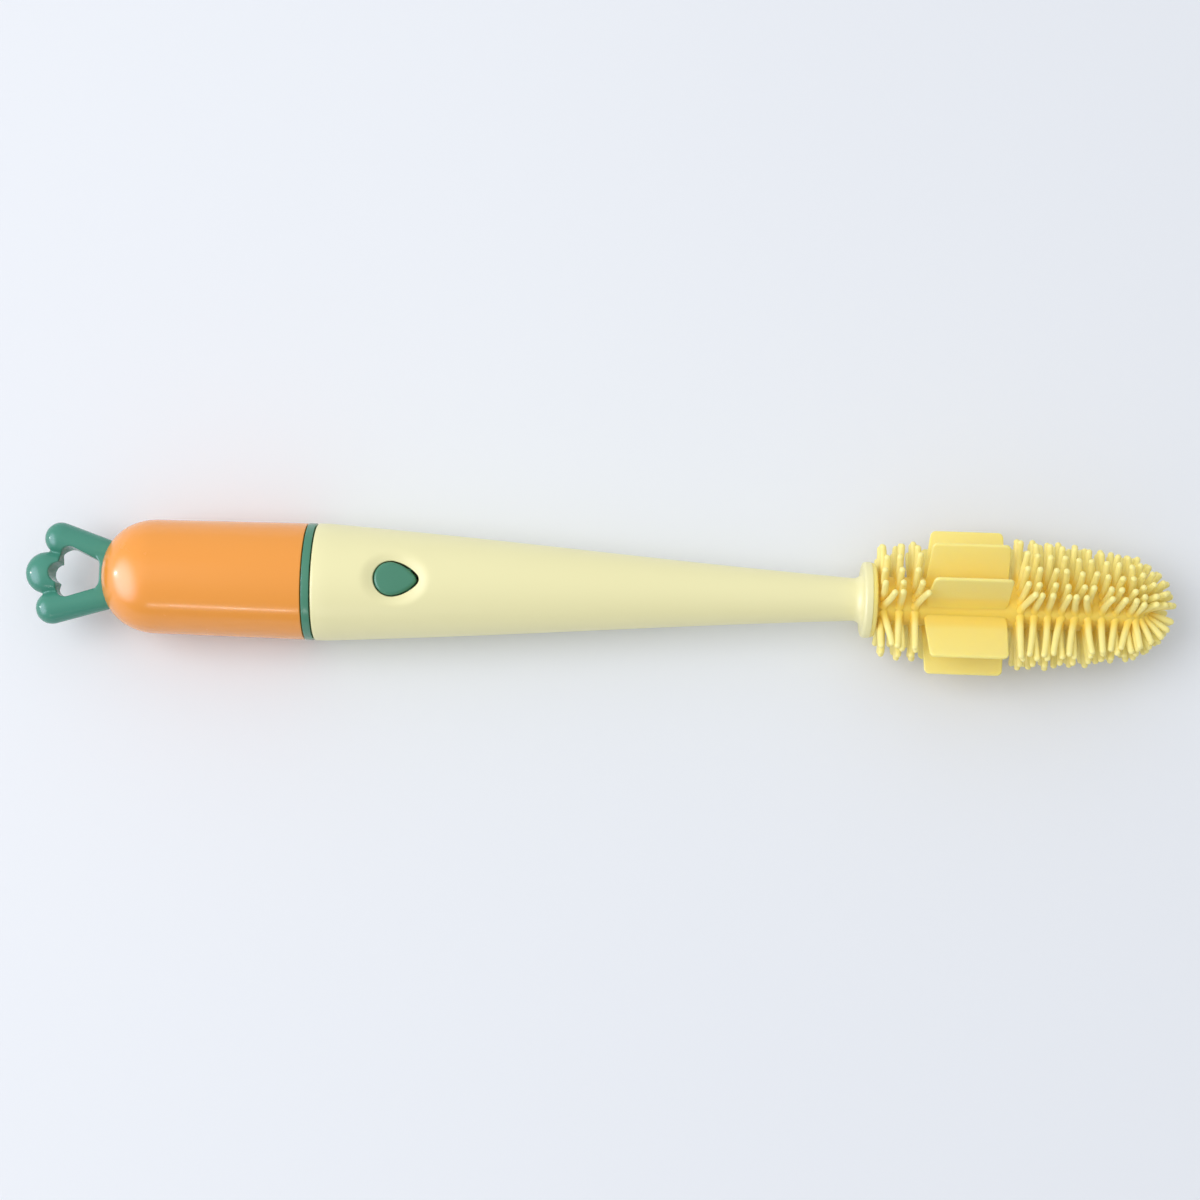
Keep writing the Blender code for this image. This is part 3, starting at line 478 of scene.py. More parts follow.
def turned_handle():
    """The handle without its window."""
    outer = stations(NECK_X - 1.5 * NECK_COVE, DISH_X + DISH_REACH, 2.5 * MM)
    outer += stations(DISH_X + DISH_REACH, DISH_X - DISH_REACH, DISH_RINGS)
    outer += stations(DISH_X - DISH_REACH, MOUTH_X + REST_BAND / 2, 2.0 * MM)
    inner = stations(BORE_END_X + MM, CAVITY_X, 1.5 * MM)
    corners = [
        (ROD_PLUG_X, 0.0, 0.0),
        (ROD_PLUG_X, ROD_BORE, 0.0),
        (HANDLE_END_X, ROD_BORE, 0.2 * MM),
        (HANDLE_END_X, FLANGE_RADIUS, 0.12 * MM),
        (NECK_X, FLANGE_RADIUS, FLANGE_EDGE),
        (NECK_X, NECK_RADIUS, NECK_COVE),
    ]
    corners += [(x, handle_radius(x), 0.0) for x in outer]
    corners += [
        (MOUTH_X, WIDE_RADIUS, 0.8 * MM),
        (MOUTH_X, MOUTH_BORE, 0.3 * MM),
        (BORE_END_X, MOUTH_BORE, 0.0),
    ]
    corners += [(x, min(MOUTH_BORE, handle_radius(x) - HANDLE_WALL), 0.0) for x in inner]
    corners += [(CAVITY_X, handle_radius(CAVITY_X) - HANDLE_WALL, 0.5 * MM), (CAVITY_X, 0.0, 0.0)]
    bm, rings = lathe(rounded(corners), 2 * FINE)
    mouth = next(i for i, ring in enumerate(rings) if ring[0].co.x < MOUTH_X + HAIR)
    for i, ring in enumerate(rings):
        for vert in ring:
            height = vert.co.z - AXIS_Z
            if i < mouth and height > 0 and abs(vert.co.x - DISH_X) < DISH_REACH:
                vert.co.z = AXIS_Z + soft_min(height, dish_height(vert.co.x, vert.co.y), DISH_RIM)
            if i > mouth and vert.co.x > BORE_END_X:
                vert.co.z = AXIS_Z + min(height, CEILING)
    return bm


# %% [markdown]
# The window is egg-shaped: a round blunt end, a small round tip and two flat side arcs that touch both.
# Each point of such an outline is known by the way it faces, and an outline grown by some distance
# just has larger radii, so one function gives the window, its rounded lip and the button inside.
# The cutter follows the dish's surface with a quarter round, which leaves the lip rounded.

# %% Egg outline
WINDOW_START = MOUTH_X + 19.0 * MM
WINDOW_LENGTH = 14.1 * MM
WINDOW_WIDTH = 11.0 * MM
TIP_RADIUS = 2.2 * MM
SIDE_RADIUS = 12.5 * MM
EGG_POINTS = 120

# A side arc touches both ends, so its centre (side_x, side_y) follows from the three radii.
blunt_radius = WINDOW_WIDTH / 2
blunt_x = WINDOW_START + blunt_radius
tip_x = WINDOW_START + WINDOW_LENGTH - TIP_RADIUS
span = tip_x - blunt_x
reach = SIDE_RADIUS - blunt_radius
side_x = (reach ** 2 - (SIDE_RADIUS - TIP_RADIUS) ** 2 + span ** 2) / (2 * span)
side_y = -math.sqrt(reach ** 2 - side_x ** 2)
side_x += blunt_x
TIP_TURN = math.atan2(-side_y, tip_x - side_x)
BLUNT_TURN = math.atan2(-side_y, blunt_x - side_x)
print("side arcs turn from", [round(math.degrees(turn)) for turn in (TIP_TURN, BLUNT_TURN)], "degrees")


def egg_points(outset):
    """The window's outline (x, y), grown by a distance; it starts at the blunt end."""
    points = []
    for i in range(EGG_POINTS):
        turn = math.pi - 2 * math.pi * (i + 0.5) / EGG_POINTS
        facing = abs(turn)
        x, y, radius = blunt_x, 0.0, blunt_radius
        if facing < TIP_TURN:
            x, y, radius = tip_x, 0.0, TIP_RADIUS
        elif facing < BLUNT_TURN:
            x, y, radius = side_x, side_y, SIDE_RADIUS
        radius += outset
        y += radius * math.sin(facing)
        points.append((x + radius * math.cos(facing), math.copysign(y, turn)))
    return points


def egg_ring(bm, outset, height):
    """A ring of vertices on a grown outline; height(x, y) is above the brush's axis."""
    return [bm.verts.new((x, y, AXIS_Z + height(x, y))) for x, y in egg_points(outset)]


# %% Cut the window and add the handle
LIP_RADIUS = 0.35 * MM
LIP_STEPS = 5
LIP_TURN = 78.0
OVERRUN = 3.0 * MM


def window_cutter():
    """A closed egg-shaped cutter that flares to a rounded lip at the dish's surface."""
    bm = bmesh.new()
    rings = [egg_ring(bm, 0.0, lambda x, y: CEILING - OVERRUN)]
    for i in range(LIP_STEPS + 1):
        turn = math.radians(LIP_TURN * i / LIP_STEPS)
        drop = LIP_RADIUS * (1 - math.sin(turn))
        outset = LIP_RADIUS * (1 - math.cos(turn))
        rings.append(egg_ring(bm, outset, lambda x, y, d=drop: skin_height(x, y) - d))
    rings.append(egg_ring(bm, outset, lambda x, y: WIDE_RADIUS + OVERRUN))
    skin(bm, rings, rings[0], rings[-1])
    return bm


windowed = carved(turned_handle(), window_cutter())
add_piece("handle", windowed, "handle", "cream_plastic", "handle_shell")

# %% [markdown]
# ## The grip
#
# The grip is one glossy shell: a blunt round nose, then a body that widens by a third of a millimetre
# so that it came out of its mould. The nose is a superellipse: a circle's formula with a power above 2,
# which fills its shoulders out a little. The open end has a tiny round edge, which draws the thin
# light line beside the collar.

# %% Grip
GRIP_SETBACK = 0.1 * MM
GRIP_DRAFT = 0.35 * MM
GRIP_END_RADIUS = WIDE_RADIUS - GRIP_SETBACK
DOME_RADIUS = GRIP_END_RADIUS - GRIP_DRAFT
DOME_POWER = 2.2
GRIP_WALL = 2.2 * MM
PEG_HOLE = 3.0 * MM
DOME_X = DOME_TIP_X + DOME_RADIUS


def dome_arc(radius, steps):
    """Points (x, r) of the blunt nose, from its side to the edge of the peg's hole."""
    hole = math.asin((PEG_HOLE / radius) ** (DOME_POWER / 2))
    points = []
    for i in range(steps + 1):
        turn = math.pi / 2 + (math.pi / 2 - hole) * i / steps
        out = radius * abs(math.cos(turn)) ** (2 / DOME_POWER)
        points.append((DOME_X - out, radius * math.sin(turn) ** (2 / DOME_POWER)))
    return points


def grip_shell():
    """Outer skin, rounded rim, then the inner skin back to the peg's hole."""
    inner = DOME_RADIUS - GRIP_WALL
    rim = [
        (DOME_X + MM, inner, 0.0),
        (GRIP_END_X, inner, 0.2 * MM),
        (GRIP_END_X, GRIP_END_RADIUS, 0.35 * MM),
        (DOME_X + MM, DOME_RADIUS, 0.0),
    ]
    profile = dome_arc(inner, 20)[::-1] + rounded(rim) + dome_arc(DOME_RADIUS, 48)
    return lathe(profile, closed=True)[0]


add_piece("grip", grip_shell(), "grip", "orange_plastic", "grip_shell")

# %% [markdown]
# ## The collar
#
# Only a green ring shows, flush with the grip and the handle. Behind it the same moulding has a spigot
# into the grip, a plug into the handle's mouth and a boss that holds the small brush. They show when
# the grip is pulled out, so they are made too, with a slot at the top where the latch tongue springs.

# %% Collar
THIN_WALL = 1.8 * MM
PLUG_RADIUS = MOUTH_BORE - GAP
PLUG_HOLLOW = PLUG_RADIUS - THIN_WALL
PLUG_END_X = BORE_END_X - GAP
SPIGOT_X = RING_X - 10.0 * MM
SPIGOT_RADIUS = DOME_RADIUS - GRIP_WALL - GAP
SPIGOT_HOLLOW = SPIGOT_RADIUS - 2.2 * MM
STEM_BORE = 1.8 * MM
BOSS_X = RING_END_X + 9.5 * MM
BOSS_RADIUS = STEM_BORE + THIN_WALL
SOCKET_X = (RING_X + RING_END_X) / 2
EDGE = 0.25 * MM
TONGUE_TOP = CEILING - GAP
TONGUE_THICKNESS = 1.2 * MM
TONGUE_WIDTH = 7.2 * MM


def box_mesh(low, high, edge=0.0):
    """A box between two corners, with its edges rounded."""
    bm = bmesh.new()
    bmesh.ops.create_cube(bm, size=1.0)
    low, high = Vector(low), Vector(high)
    for vert in bm.verts:
        vert.co = [low[i] if vert.co[i] < 0 else high[i] for i in range(3)]
    if edge > 0:
        bmesh.ops.bevel(bm, geom=bm.edges[:], offset=edge, segments=3, profile=0.5, affect="EDGES")
    return bm


def collar_mesh():
    """The turned collar with its tongue slot."""
    corners = [
        (SOCKET_X, 0.0, 0.0),
        (SOCKET_X, STEM_BORE, 0.0),
        (BOSS_X, STEM_BORE, 0.0),
        (BOSS_X, BOSS_RADIUS, 0.4 * MM),
        (RING_END_X, BOSS_RADIUS, 0.6 * MM),
        (RING_END_X, PLUG_HOLLOW, 0.6 * MM),
        (PLUG_END_X, PLUG_HOLLOW, 0.3 * MM),
        (PLUG_END_X, PLUG_RADIUS, 0.5 * MM),
        (RING_END_X, PLUG_RADIUS, 0.2 * MM),
        (RING_END_X, WIDE_RADIUS, EDGE),
        (RING_X, WIDE_RADIUS, EDGE),
        (RING_X, SPIGOT_RADIUS, 0.0),
        (SPIGOT_X, SPIGOT_RADIUS, 0.3 * MM),
        (SPIGOT_X, SPIGOT_HOLLOW, 0.3 * MM),
        (RING_X, SPIGOT_HOLLOW, 0.5 * MM),
        (RING_X, 0.0, 0.0),
    ]
    half = TONGUE_WIDTH / 2 + GAP
    slot_low = (RING_END_X, -half, AXIS_Z + TONGUE_TOP - TONGUE_THICKNESS - GAP)
    slot_high = (PLUG_END_X + 5.0 * MM, half, AXIS_Z + 2 * WIDE_RADIUS)
    return carved(lathe(rounded(corners))[0], box_mesh(slot_low, slot_high))


add_piece("collar", collar_mesh(), "grip", "green_plastic", "latch_collar")

# %% [markdown]
# ## The latch button
#
# The button is a pad on the end of a springing tongue. The pad copies the window's outline with a
# small gap all round, and a wider one at its tip. Its nearly flat top leans: the blunt end stands a
# little proud of the dish and the tip is sunk, so that the handle's lip can ride over it when the
# grip is pushed home. Its rounded edge catches the light as a bright rim at the blunt end.

# %% Button
BUTTON_GAP = 0.3 * MM
BUTTON_EDGE = 1.3 * MM
BUTTON_PROUD = 0.7 * MM
BUTTON_SUNK = 1.1 * MM
BUTTON_CROWN = 0.12 * MM
BUTTON_SKIRT = 0.4 * MM
TIP_SHORT = 0.5 * MM
HINGE_X = tongue_low.x
BLUNT_END_X = WINDOW_START + BUTTON_GAP
TIP_END_X = WINDOW_START + WINDOW_LENGTH - BUTTON_GAP


def button_top(x):
    """Height of the button's leaning top above the brush's axis."""
    high = dish_height(BLUNT_END_X, 0.0) + BUTTON_PROUD
    low = dish_height(TIP_END_X, 0.0) - BUTTON_SUNK
    return high + (low - high) * (x - BLUNT_END_X) / (TIP_END_X - BLUNT_END_X)


def button_mesh():
    """The pad, joined to its tongue."""
    bottom = TONGUE_TOP - TONGUE_THICKNESS - BUTTON_SKIRT
    bm = bmesh.new()
    rings = [egg_ring(bm, -BUTTON_GAP - EDGE, lambda x, y: bottom)]
    rings.append(egg_ring(bm, -BUTTON_GAP, lambda x, y: bottom + EDGE))
    for i in range(7):
        turn = math.radians(15.0 * i)
        drop = BUTTON_EDGE * (1 - math.sin(turn))
        outset = -BUTTON_GAP - BUTTON_EDGE * (1 - math.cos(turn))
        rings.append(egg_ring(bm, outset, lambda x, y, d=drop: button_top(x) - d))
    rim = [vert.co.copy() for vert in rings[-1]]
    centre = sum(rim, Vector()) / len(rim)
    for share in (0.85, 0.65, 0.45, 0.25, 0.1):
        crown = Vector((0.0, 0.0, BUTTON_CROWN * (1 - share ** 2)))
        rings.append([bm.verts.new(centre.lerp(place, share) + crown) for place in rim])
    rings.append([bm.verts.new(centre + Vector((0.0, 0.0, BUTTON_CROWN)))])
    for vert in bm.verts:
        vert.co.x -= TIP_SHORT * (vert.co.x - BLUNT_END_X) / (TIP_END_X - BLUNT_END_X)
    skin(bm, rings, rings[0])
    tongue = box_mesh(
        (HINGE_X, -TONGUE_WIDTH / 2, AXIS_Z + TONGUE_TOP - TONGUE_THICKNESS),
        (TIP_END_X - TIP_RADIUS, TONGUE_WIDTH / 2, AXIS_Z + TONGUE_TOP),
        EDGE,
    )
    return carved(bm, tongue, "UNION")


add_piece("latch_button", button_mesh(), "button", "green_plastic", "release_button")

# %% [markdown]
# ## The leaf
#
# The leaf is a chunky three-lobed loop with soft, rounded edges everywhere. Rounded shapes that run into
# each other are hard to join edge by edge. So the lobes are made as hulls round pressed balls, a voxel
# remesh melts them into one skin, the hole is cut through it, and a second remesh with some smoothing
# rounds every edge, much as polishing a mould does. The hole is a little wider at the top. Lobes and
# hole are tables of circles in millimetres: x from the dome's tip, y, and radius.

# %% Leaf shapes
LEAF_HALF = 5.2 * MM
MIDDLE_LOBE = (-17.5, 0.0, 6.6)
SIDE_LOBES = [(-13.6, 11.0, 5.1), (-15.2, -10.9, 5.1)]
FEET = [(3.0, 6.7, 3.8), (3.0, -6.7, 3.8)]
FOOT_HALF = LEAF_HALF * 3.8 / 5.1
WEB_LOW = (DOME_TIP_X - 1.5 * MM, -6.7 * MM, AXIS_Z - 3.5 * MM)
WEB_HIGH = (DOME_TIP_X + 3.0 * MM, 6.7 * MM, AXIS_Z + 3.5 * MM)
SEAT_RADIUS = DOME_RADIUS - 0.4 * MM
THROUGH = LEAF_HALF + 2.0 * MM
HOLE_ROUNDS = [(-10.1, 5.1, 2.7), (-10.9, -4.5, 2.7), (-2.6, 2.8, 1.6), (-2.8, -2.5, 1.8)]
MIDDLE_ROUND = (-12.8, 0.0, 2.9)
HOLE_FLARE = 0.5 * MM
DISC_POINTS = 48
print("leaf, mm:", [round(side / MM, 1) for side in leaf_high - leaf_low])


def hull_mesh(points):
    """The convex hull round some points."""
    bm = bmesh.new()
    for point in points:
        bm.verts.new(point)
    bmesh.ops.convex_hull(bm, input=bm.verts)
    loose = [vert for vert in bm.verts if not vert.link_faces]
    bmesh.ops.delete(bm, geom=loose, context="VERTS")
    return bm


def pressed_ball(place, half):
    """Points of a ball (x, y, radius) pressed to a thickness; x is from the dome's tip."""
    spot, radius = Vector(place[:2]) * MM, place[2] * MM
    bm = bmesh.new()
    bmesh.ops.create_uvsphere(bm, u_segments=48, v_segments=24, radius=radius)
    middle = Vector((DOME_TIP_X + spot.x, spot.y, AXIS_Z))
    points = [middle + Vector((v.co.x, v.co.y, v.co.z * half / radius)) for v in bm.verts]
    bm.free()
    return points


def disc_points(place):
    """Points of a circle (x, y, radius) below the leaf and of a wider one above it."""
    spot, radius = Vector(place[:2]) * MM, place[2] * MM
    points = []
    for i in range(DISC_POINTS):
        turn = 2 * math.pi * i / DISC_POINTS
        for reach, z in ((radius, AXIS_Z - THROUGH), (radius + HOLE_FLARE, AXIS_Z + THROUGH)):
            x = DOME_TIP_X + spot.x + reach * math.cos(turn)
            points.append((x, spot.y + reach * math.sin(turn), z))
    return points


# %% Melt, cut and smooth the leaf
LEAF_VOXEL = 0.25 * MM
FIRST_POLISH = 2
LAST_POLISH = 14


def melted(bm, smoothing):
    """One skin round overlapping closed shapes, with its edges smoothed round."""
    melt = as_object("melt", bm)
    remesh = melt.modifiers.new("skin", "REMESH")
    remesh.mode = "VOXEL"
    remesh.voxel_size = LEAF_VOXEL
    smooth = melt.modifiers.new("polish", "SMOOTH")
    smooth.factor = 0.5
    smooth.iterations = smoothing
    return as_bmesh(melt)


def joined(shapes):
    """Several bmeshes in one."""
    whole = bmesh.new()
    for shape in shapes:
        mesh = bpy.data.meshes.new("shape")
        shape.to_mesh(mesh)
        shape.free()
        whole.from_mesh(mesh)
        bpy.data.meshes.remove(mesh)
    return whole


def leaf_mesh():
    """The three lobes and their web, seated on the dome, with the hole."""
    inner = (HOLE_ROUNDS[0][0], *MIDDLE_LOBE[1:])
    lobes = [hull_mesh(pressed_ball(MIDDLE_LOBE, LEAF_HALF) + pressed_ball(inner, FOOT_HALF))]
    for lobe, foot in zip(SIDE_LOBES, FEET):
        lobes.append(hull_mesh(pressed_ball(lobe, LEAF_HALF) + pressed_ball(foot, FOOT_HALF)))
    lobes.append(box_mesh(WEB_LOW, WEB_HIGH))
    seat = bmesh.new()
    bmesh.ops.create_uvsphere(seat, u_segments=96, v_segments=64, radius=SEAT_RADIUS)
    bmesh.ops.translate(seat, verts=seat.verts, vec=(DOME_X, 0.0, AXIS_Z))
    hole = [point for place in HOLE_ROUNDS for point in disc_points(place)]
    leaf = carved(melted(joined(lobes), FIRST_POLISH), seat)
    leaf = carved(leaf, hull_mesh(hole))
    leaf = carved(leaf, hull_mesh(disc_points(MIDDLE_ROUND)))
    return melted(leaf, LAST_POLISH)


add_piece("leaf", leaf_mesh(), "grip", "green_plastic", "leaf_loop")

# %% [markdown]
# ## Strands and fins
#
# A silicone strand is a soft tapering rod. It flares where it grows out of the sleeve, so that it
# doesn't tear there, and its tip is round. `strand` sweeps rings along a bent line.

# %% Strand
STRAND_SIDES = 14
FLARE = 0.55
FLARE_SHARE = 0.16


def strand(bm, root, tip, bend, radius, tip_share):
    """One strand from its root to its domed tip, bowed sideways by a vector."""
    tip_radius = radius * tip_share
    run = tip - root
    shares = [0.0, 0.04, 0.08, 0.13, 0.2, 0.35, 0.5, 0.65, 0.8, 0.9]
    dome = 1 - tip_radius / run.length
    places = []
    for share in shares + [dome]:
        thick = radius + (tip_radius - radius) * share
        thick *= 1 + FLARE * max(0.0, 1 - share / FLARE_SHARE) ** 2
        places.append((share, thick))
    for turn in (25, 45, 65, 80):
        angle = math.radians(turn)
        places.append((dome + (1 - dome) * math.sin(angle), tip_radius * math.cos(angle)))
    places.append((1.0, 0.0))
    across = run.cross(Vector((1.0, 0.0, 0.0)))
    if across.length < 0.1 * run.length:
        across = run.cross(Vector((0.0, 1.0, 0.0)))
    across.normalize()
    along = run.normalized().cross(across)
    rings = []
    for share, thick in places:
        middle = root + run * share + bend * (4 * share * (1 - share))
        count = STRAND_SIDES if thick > 0 else 1
        ring = []
        for i in range(count):
            turn = 2 * math.pi * i / STRAND_SIDES
            out = across * math.cos(turn) + along * math.sin(turn)
            ring.append(bm.verts.new(middle + out * thick))
        rings.append(ring)
    skin(bm, rings, rings[0])


# %% [markdown]
# The head is moulded in two halves, so its rows don't point straight out. Rows near the edge of a
# half lean away from that edge, which leaves a parting line along the top with strands falling away
# to both sides. `lean` gives the angle of a tip from the angle of its root: a cube keeps the middle
# rows straight and turns the outer ones most. A strand that would reach into the table is shortened,
# and a fin is laid along the table, as the brush's own weight does.

# %% Rows round the head
MOULD_MIDDLE = 62.0
ROWS = 18
EDGE_LEAN = 25.6
STRAND_TURN = 3.0
NEAR_ROW_TURN = -5.0
FIN_TURN = 7.0
SLEEVE_RADIUS = 7.5 * MM
STRAND_RADIUS = 1.1 * MM
STRAND_TIP_SHARE = 0.9


def on_sleeve(x, radius, degrees):
    """A point at a distance from the axis; 0 degrees is straight up, 90 is +Y."""
    turn = math.radians(degrees)
    return Vector((x, radius * math.sin(turn), AXIS_Z + radius * math.cos(turn)))


def lean(root, turn):
    """The angle at which a row or fin that starts at an angle ends."""
    offset = (root - MOULD_MIDDLE + 90) % 180 - 90
    return root + turn - EDGE_LEAN * (offset / 90) ** 3


def held_up(root, tip, clearance):
    """Shortens a strand whose tip would reach into the table."""
    if tip.z >= clearance:
        return tip
    return root.lerp(tip, (root.z - clearance) / (root.z - tip.z))


def laid_down(root, tip, clearance):
    """Swings a tip round its root until it clears the table, away from straight below."""
    if tip.z >= clearance:
        return tip
    reach = (tip - root).yz.length
    drop = clearance - root.z
    side = 1 if root.y > 0 else -1
    return Vector((tip.x, root.y + side * math.sqrt(reach ** 2 - drop ** 2), clearance))


rows = [MOULD_MIDDLE - 90 + 360.0 / ROWS * (i + 0.5) for i in range(ROWS)]
print("rows start at", [round(row % 360, 1) for row in rows])

# %% [markdown]
# ## The silicone head
#
# The sleeve is turned like the other mouldings: a thin disc against the handle's flange, a straight
# sleeve and a round nose. The two mould halves leave a low, soft ridge along each parting line, which
# is plain to see between the rows. Vertices of the turned sleeve near a parting line are lifted for it.

# %% Sleeve with its parting ridges
BASE_RADIUS = 11.6 * MM
BASE_THICKNESS = 1.3 * MM
BASE_X = HANDLE_END_X + HAIR
NOSE_LENGTH = 7.5 * MM
NOSE_X = NOSE_START + NOSE_LENGTH
ROD_END_X = NOSE_X - 6.0 * MM
RIDGE_WIDTH = 20.0
RIDGE_HEIGHT = 0.6 * MM


def sleeve_mesh():
    """The turned sleeve, with a ridge on each parting line."""
    nose = []
    for i in range(16):
        turn = math.radians(6 * i)
        nose.append((NOSE_START + NOSE_LENGTH * math.sin(turn), SLEEVE_RADIUS * math.cos(turn)))
    base = [
        (NOSE_START, SLEEVE_RADIUS, 0.0),
        (HEAD_X + BASE_THICKNESS, SLEEVE_RADIUS, 0.8 * MM),
        (HEAD_X + BASE_THICKNESS, BASE_RADIUS, 1.0 * MM),
        (BASE_X, BASE_RADIUS, 0.04 * MM),
        (BASE_X, ROD_BORE, 0.0),
        (ROD_END_X, ROD_BORE, 0.0),
        (ROD_END_X, 0.0, 0.0),
    ]
    bm, rings = lathe(nose[:0:-1] + rounded(base))
    for ring in rings[:len(nose)]:
        for i, vert in enumerate(ring):
            off_line = abs((360.0 * i / len(ring) - MOULD_MIDDLE) % 180 - 90)
            lift = RIDGE_HEIGHT * max(0.0, 1 - (off_line / RIDGE_WIDTH) ** 2) ** 2
            away = Vector((0.0, vert.co.y, vert.co.z - AXIS_Z))
            vert.co += away * (lift / SLEEVE_RADIUS)
    return bm


add_piece("head_sleeve", sleeve_mesh(), "handle", "pale_silicone", "silicone_head")

# %% [markdown]
# Eight fins stand round the middle of the head. They scrape the side of a bottle where the strands
# only brush it. Their rear edges slant, most of all the far fin's, and their outer corners are round.
# A fin is a flat blade, built as a stack of long thin rings that narrow to its rounded edge.

# %% Fins
FIN_START = HEAD_X + 16.1 * MM
FIN_DEPTH = 0.6 * MM
FIN_LENGTH = 26.0 * MM
FIN_INSET_REAR = [2.6 * MM] + [1.1 * MM] * 7
FIN_INSET_FRONT = 0.8 * MM
FIN_CORNER = 1.6 * MM
FIN_RADIUS = 22.55 * MM
FIN_THICKNESS = 1.1 * MM
FIN_REST = 0.2 * MM
FIN_EDGE = 0.04 * MM
ROOT_FLARE = 1.4 * MM
ROOT_RISE = 3.6 * MM
FIN_END_POINTS = 9


def fin(bm, angle, inset_rear):
    """One blade from inside the sleeve to its rounded edge."""
    root = on_sleeve(FIN_START, SLEEVE_RADIUS - FIN_DEPTH, angle)
    tip = laid_down(root, on_sleeve(FIN_START, FIN_RADIUS, lean(angle, FIN_TURN)), FIN_REST)
    up = (tip - root).normalized()
    out = up.cross(Vector((1.0, 0.0, 0.0)))
    height = (tip - root).length
    half = FIN_THICKNESS / 2
    levels = stations(0.0, ROOT_RISE, 0.4 * MM) + stations(ROOT_RISE, height - FIN_CORNER, 2.0 * MM)
    levels += [height - FIN_CORNER * (1 - math.sin(math.radians(turn))) for turn in range(0, 91, 10)]
    rings = []
    for level in levels:
        share = level / height
        corner = max(0.0, level - (height - FIN_CORNER)) / FIN_CORNER
        cut = FIN_CORNER * (1 - math.sqrt(max(0.0, 1 - corner ** 2)))
        edge = max(0.0, level - (height - half)) / half
        thick = max(FIN_EDGE, half * math.sqrt(max(0.0, 1 - edge ** 2)))
        thick += ROOT_FLARE * max(0.0, 1 - level / ROOT_RISE) ** 2
        low = inset_rear * share + cut + thick
        high = FIN_LENGTH - FIN_INSET_FRONT * share - cut - thick
        ring = []
        for end, start in ((high, 90.0), (low, 270.0)):
            for i in range(FIN_END_POINTS):
                turn = math.radians(start - 180.0 * i / (FIN_END_POINTS - 1))
                place = root + up * level + out * (thick * math.sin(turn))
                place.x += end + thick * math.cos(turn)
                ring.append(bm.verts.new(place))
        rings.append(ring)
    skin(bm, rings, rings[0], rings[-1])


fins = bmesh.new()
for i, inset in enumerate(FIN_INSET_REAR):
    fin(fins, MOULD_MIDDLE + 360.0 / len(FIN_INSET_REAR) * (i + 0.5), inset)
add_piece("head_fins", fins, "handle", "pale_silicone", "silicone_head")

# %% [markdown]
# The strands stand in rings of eighteen: three rings behind the fins and nine in front. On the nose
# they open like a fan: each ring there has a count and an angle from the axis, and its tips end on an
# ellipsoid. Soft strands never stand quite straight, so each tip wanders and each strand bows a
# little, from a seeded random draw. The two rows beside the parting line are seen best, and their
# tips lean by listed amounts.

# %% Strands
REAR_START = 3.4 * MM
REAR_PITCH = 4.95 * MM
REAR_COLUMNS = 3
REAR_TIP = 18.0 * MM
REAR_TIP_RISE = 0.4 * MM
FRONT_START = FIN_START - HEAD_X + FIN_LENGTH + 3.8 * MM
FRONT_PITCH = 4.2 * MM
FRONT_COLUMNS = 9
FRONT_TIP = 20.8 * MM
FRONT_SLOPE = 0.06
FRONT_CURVE = 556.0 * MM
ROOT_DEPTH = 0.5 * MM
WANDER = 0.8 * MM
BOW = 0.7 * MM
ROW_BOW = 0.6
NOSE_BOW = 0.5
ROW_ABOVE = 0
ROW_BELOW = ROWS - 1
REAR_BELOW = [2.6, -0.8, -0.4]
REAR_ABOVE = [2.4, -0.3, 2.9]
LEANS_BELOW = [-0.5, -2.2, -1.9, -3.1, -2.4, 0.7, -0.3, -2.1, -3.1]
LEANS_ABOVE = [2.2, 0.1, -0.9, 0.1, -2.1, -3.0, 1.2, 1.1, 0.2]
NOSE_RINGS = [(20, 74), (17, 59), (13, 44), (9, 30), (6, 16)]
NOSE_TIPS_X = NOSE_X - 9.5 * MM
NOSE_TIPS_LENGTH = head_high.x - 0.3 * MM - NOSE_TIPS_X
NOSE_TIPS_RADIUS = 17.2 * MM
NOSE_WANDER = 2.0
NOSE_SHORT = 0.05
chance = random.Random(7)


def random_bow(share):
    """A small bend in any direction."""
    return Vector([chance.uniform(-BOW, BOW) for _ in range(3)]) * share


def row_of_strands(bm, x, tip_radius, leans):
    """One ring of strands; leans gives chosen tip offsets along X, by row."""
    for i, row in enumerate(rows):
        root = on_sleeve(x, SLEEVE_RADIUS - ROOT_DEPTH, row)
        out = tip_radius + chance.uniform(-WANDER, WANDER) / 2
        turn = STRAND_TURN + (NEAR_ROW_TURN if i == ROW_BELOW else 0.0)
        tip = on_sleeve(x, out, lean(row, turn))
        wander = chance.uniform(-WANDER, WANDER)
        tip.x += leans.get(i, wander)
        tip = held_up(root, tip, STRAND_RADIUS)
        strand(bm, root, tip, random_bow(ROW_BOW), STRAND_RADIUS, STRAND_TIP_SHARE)


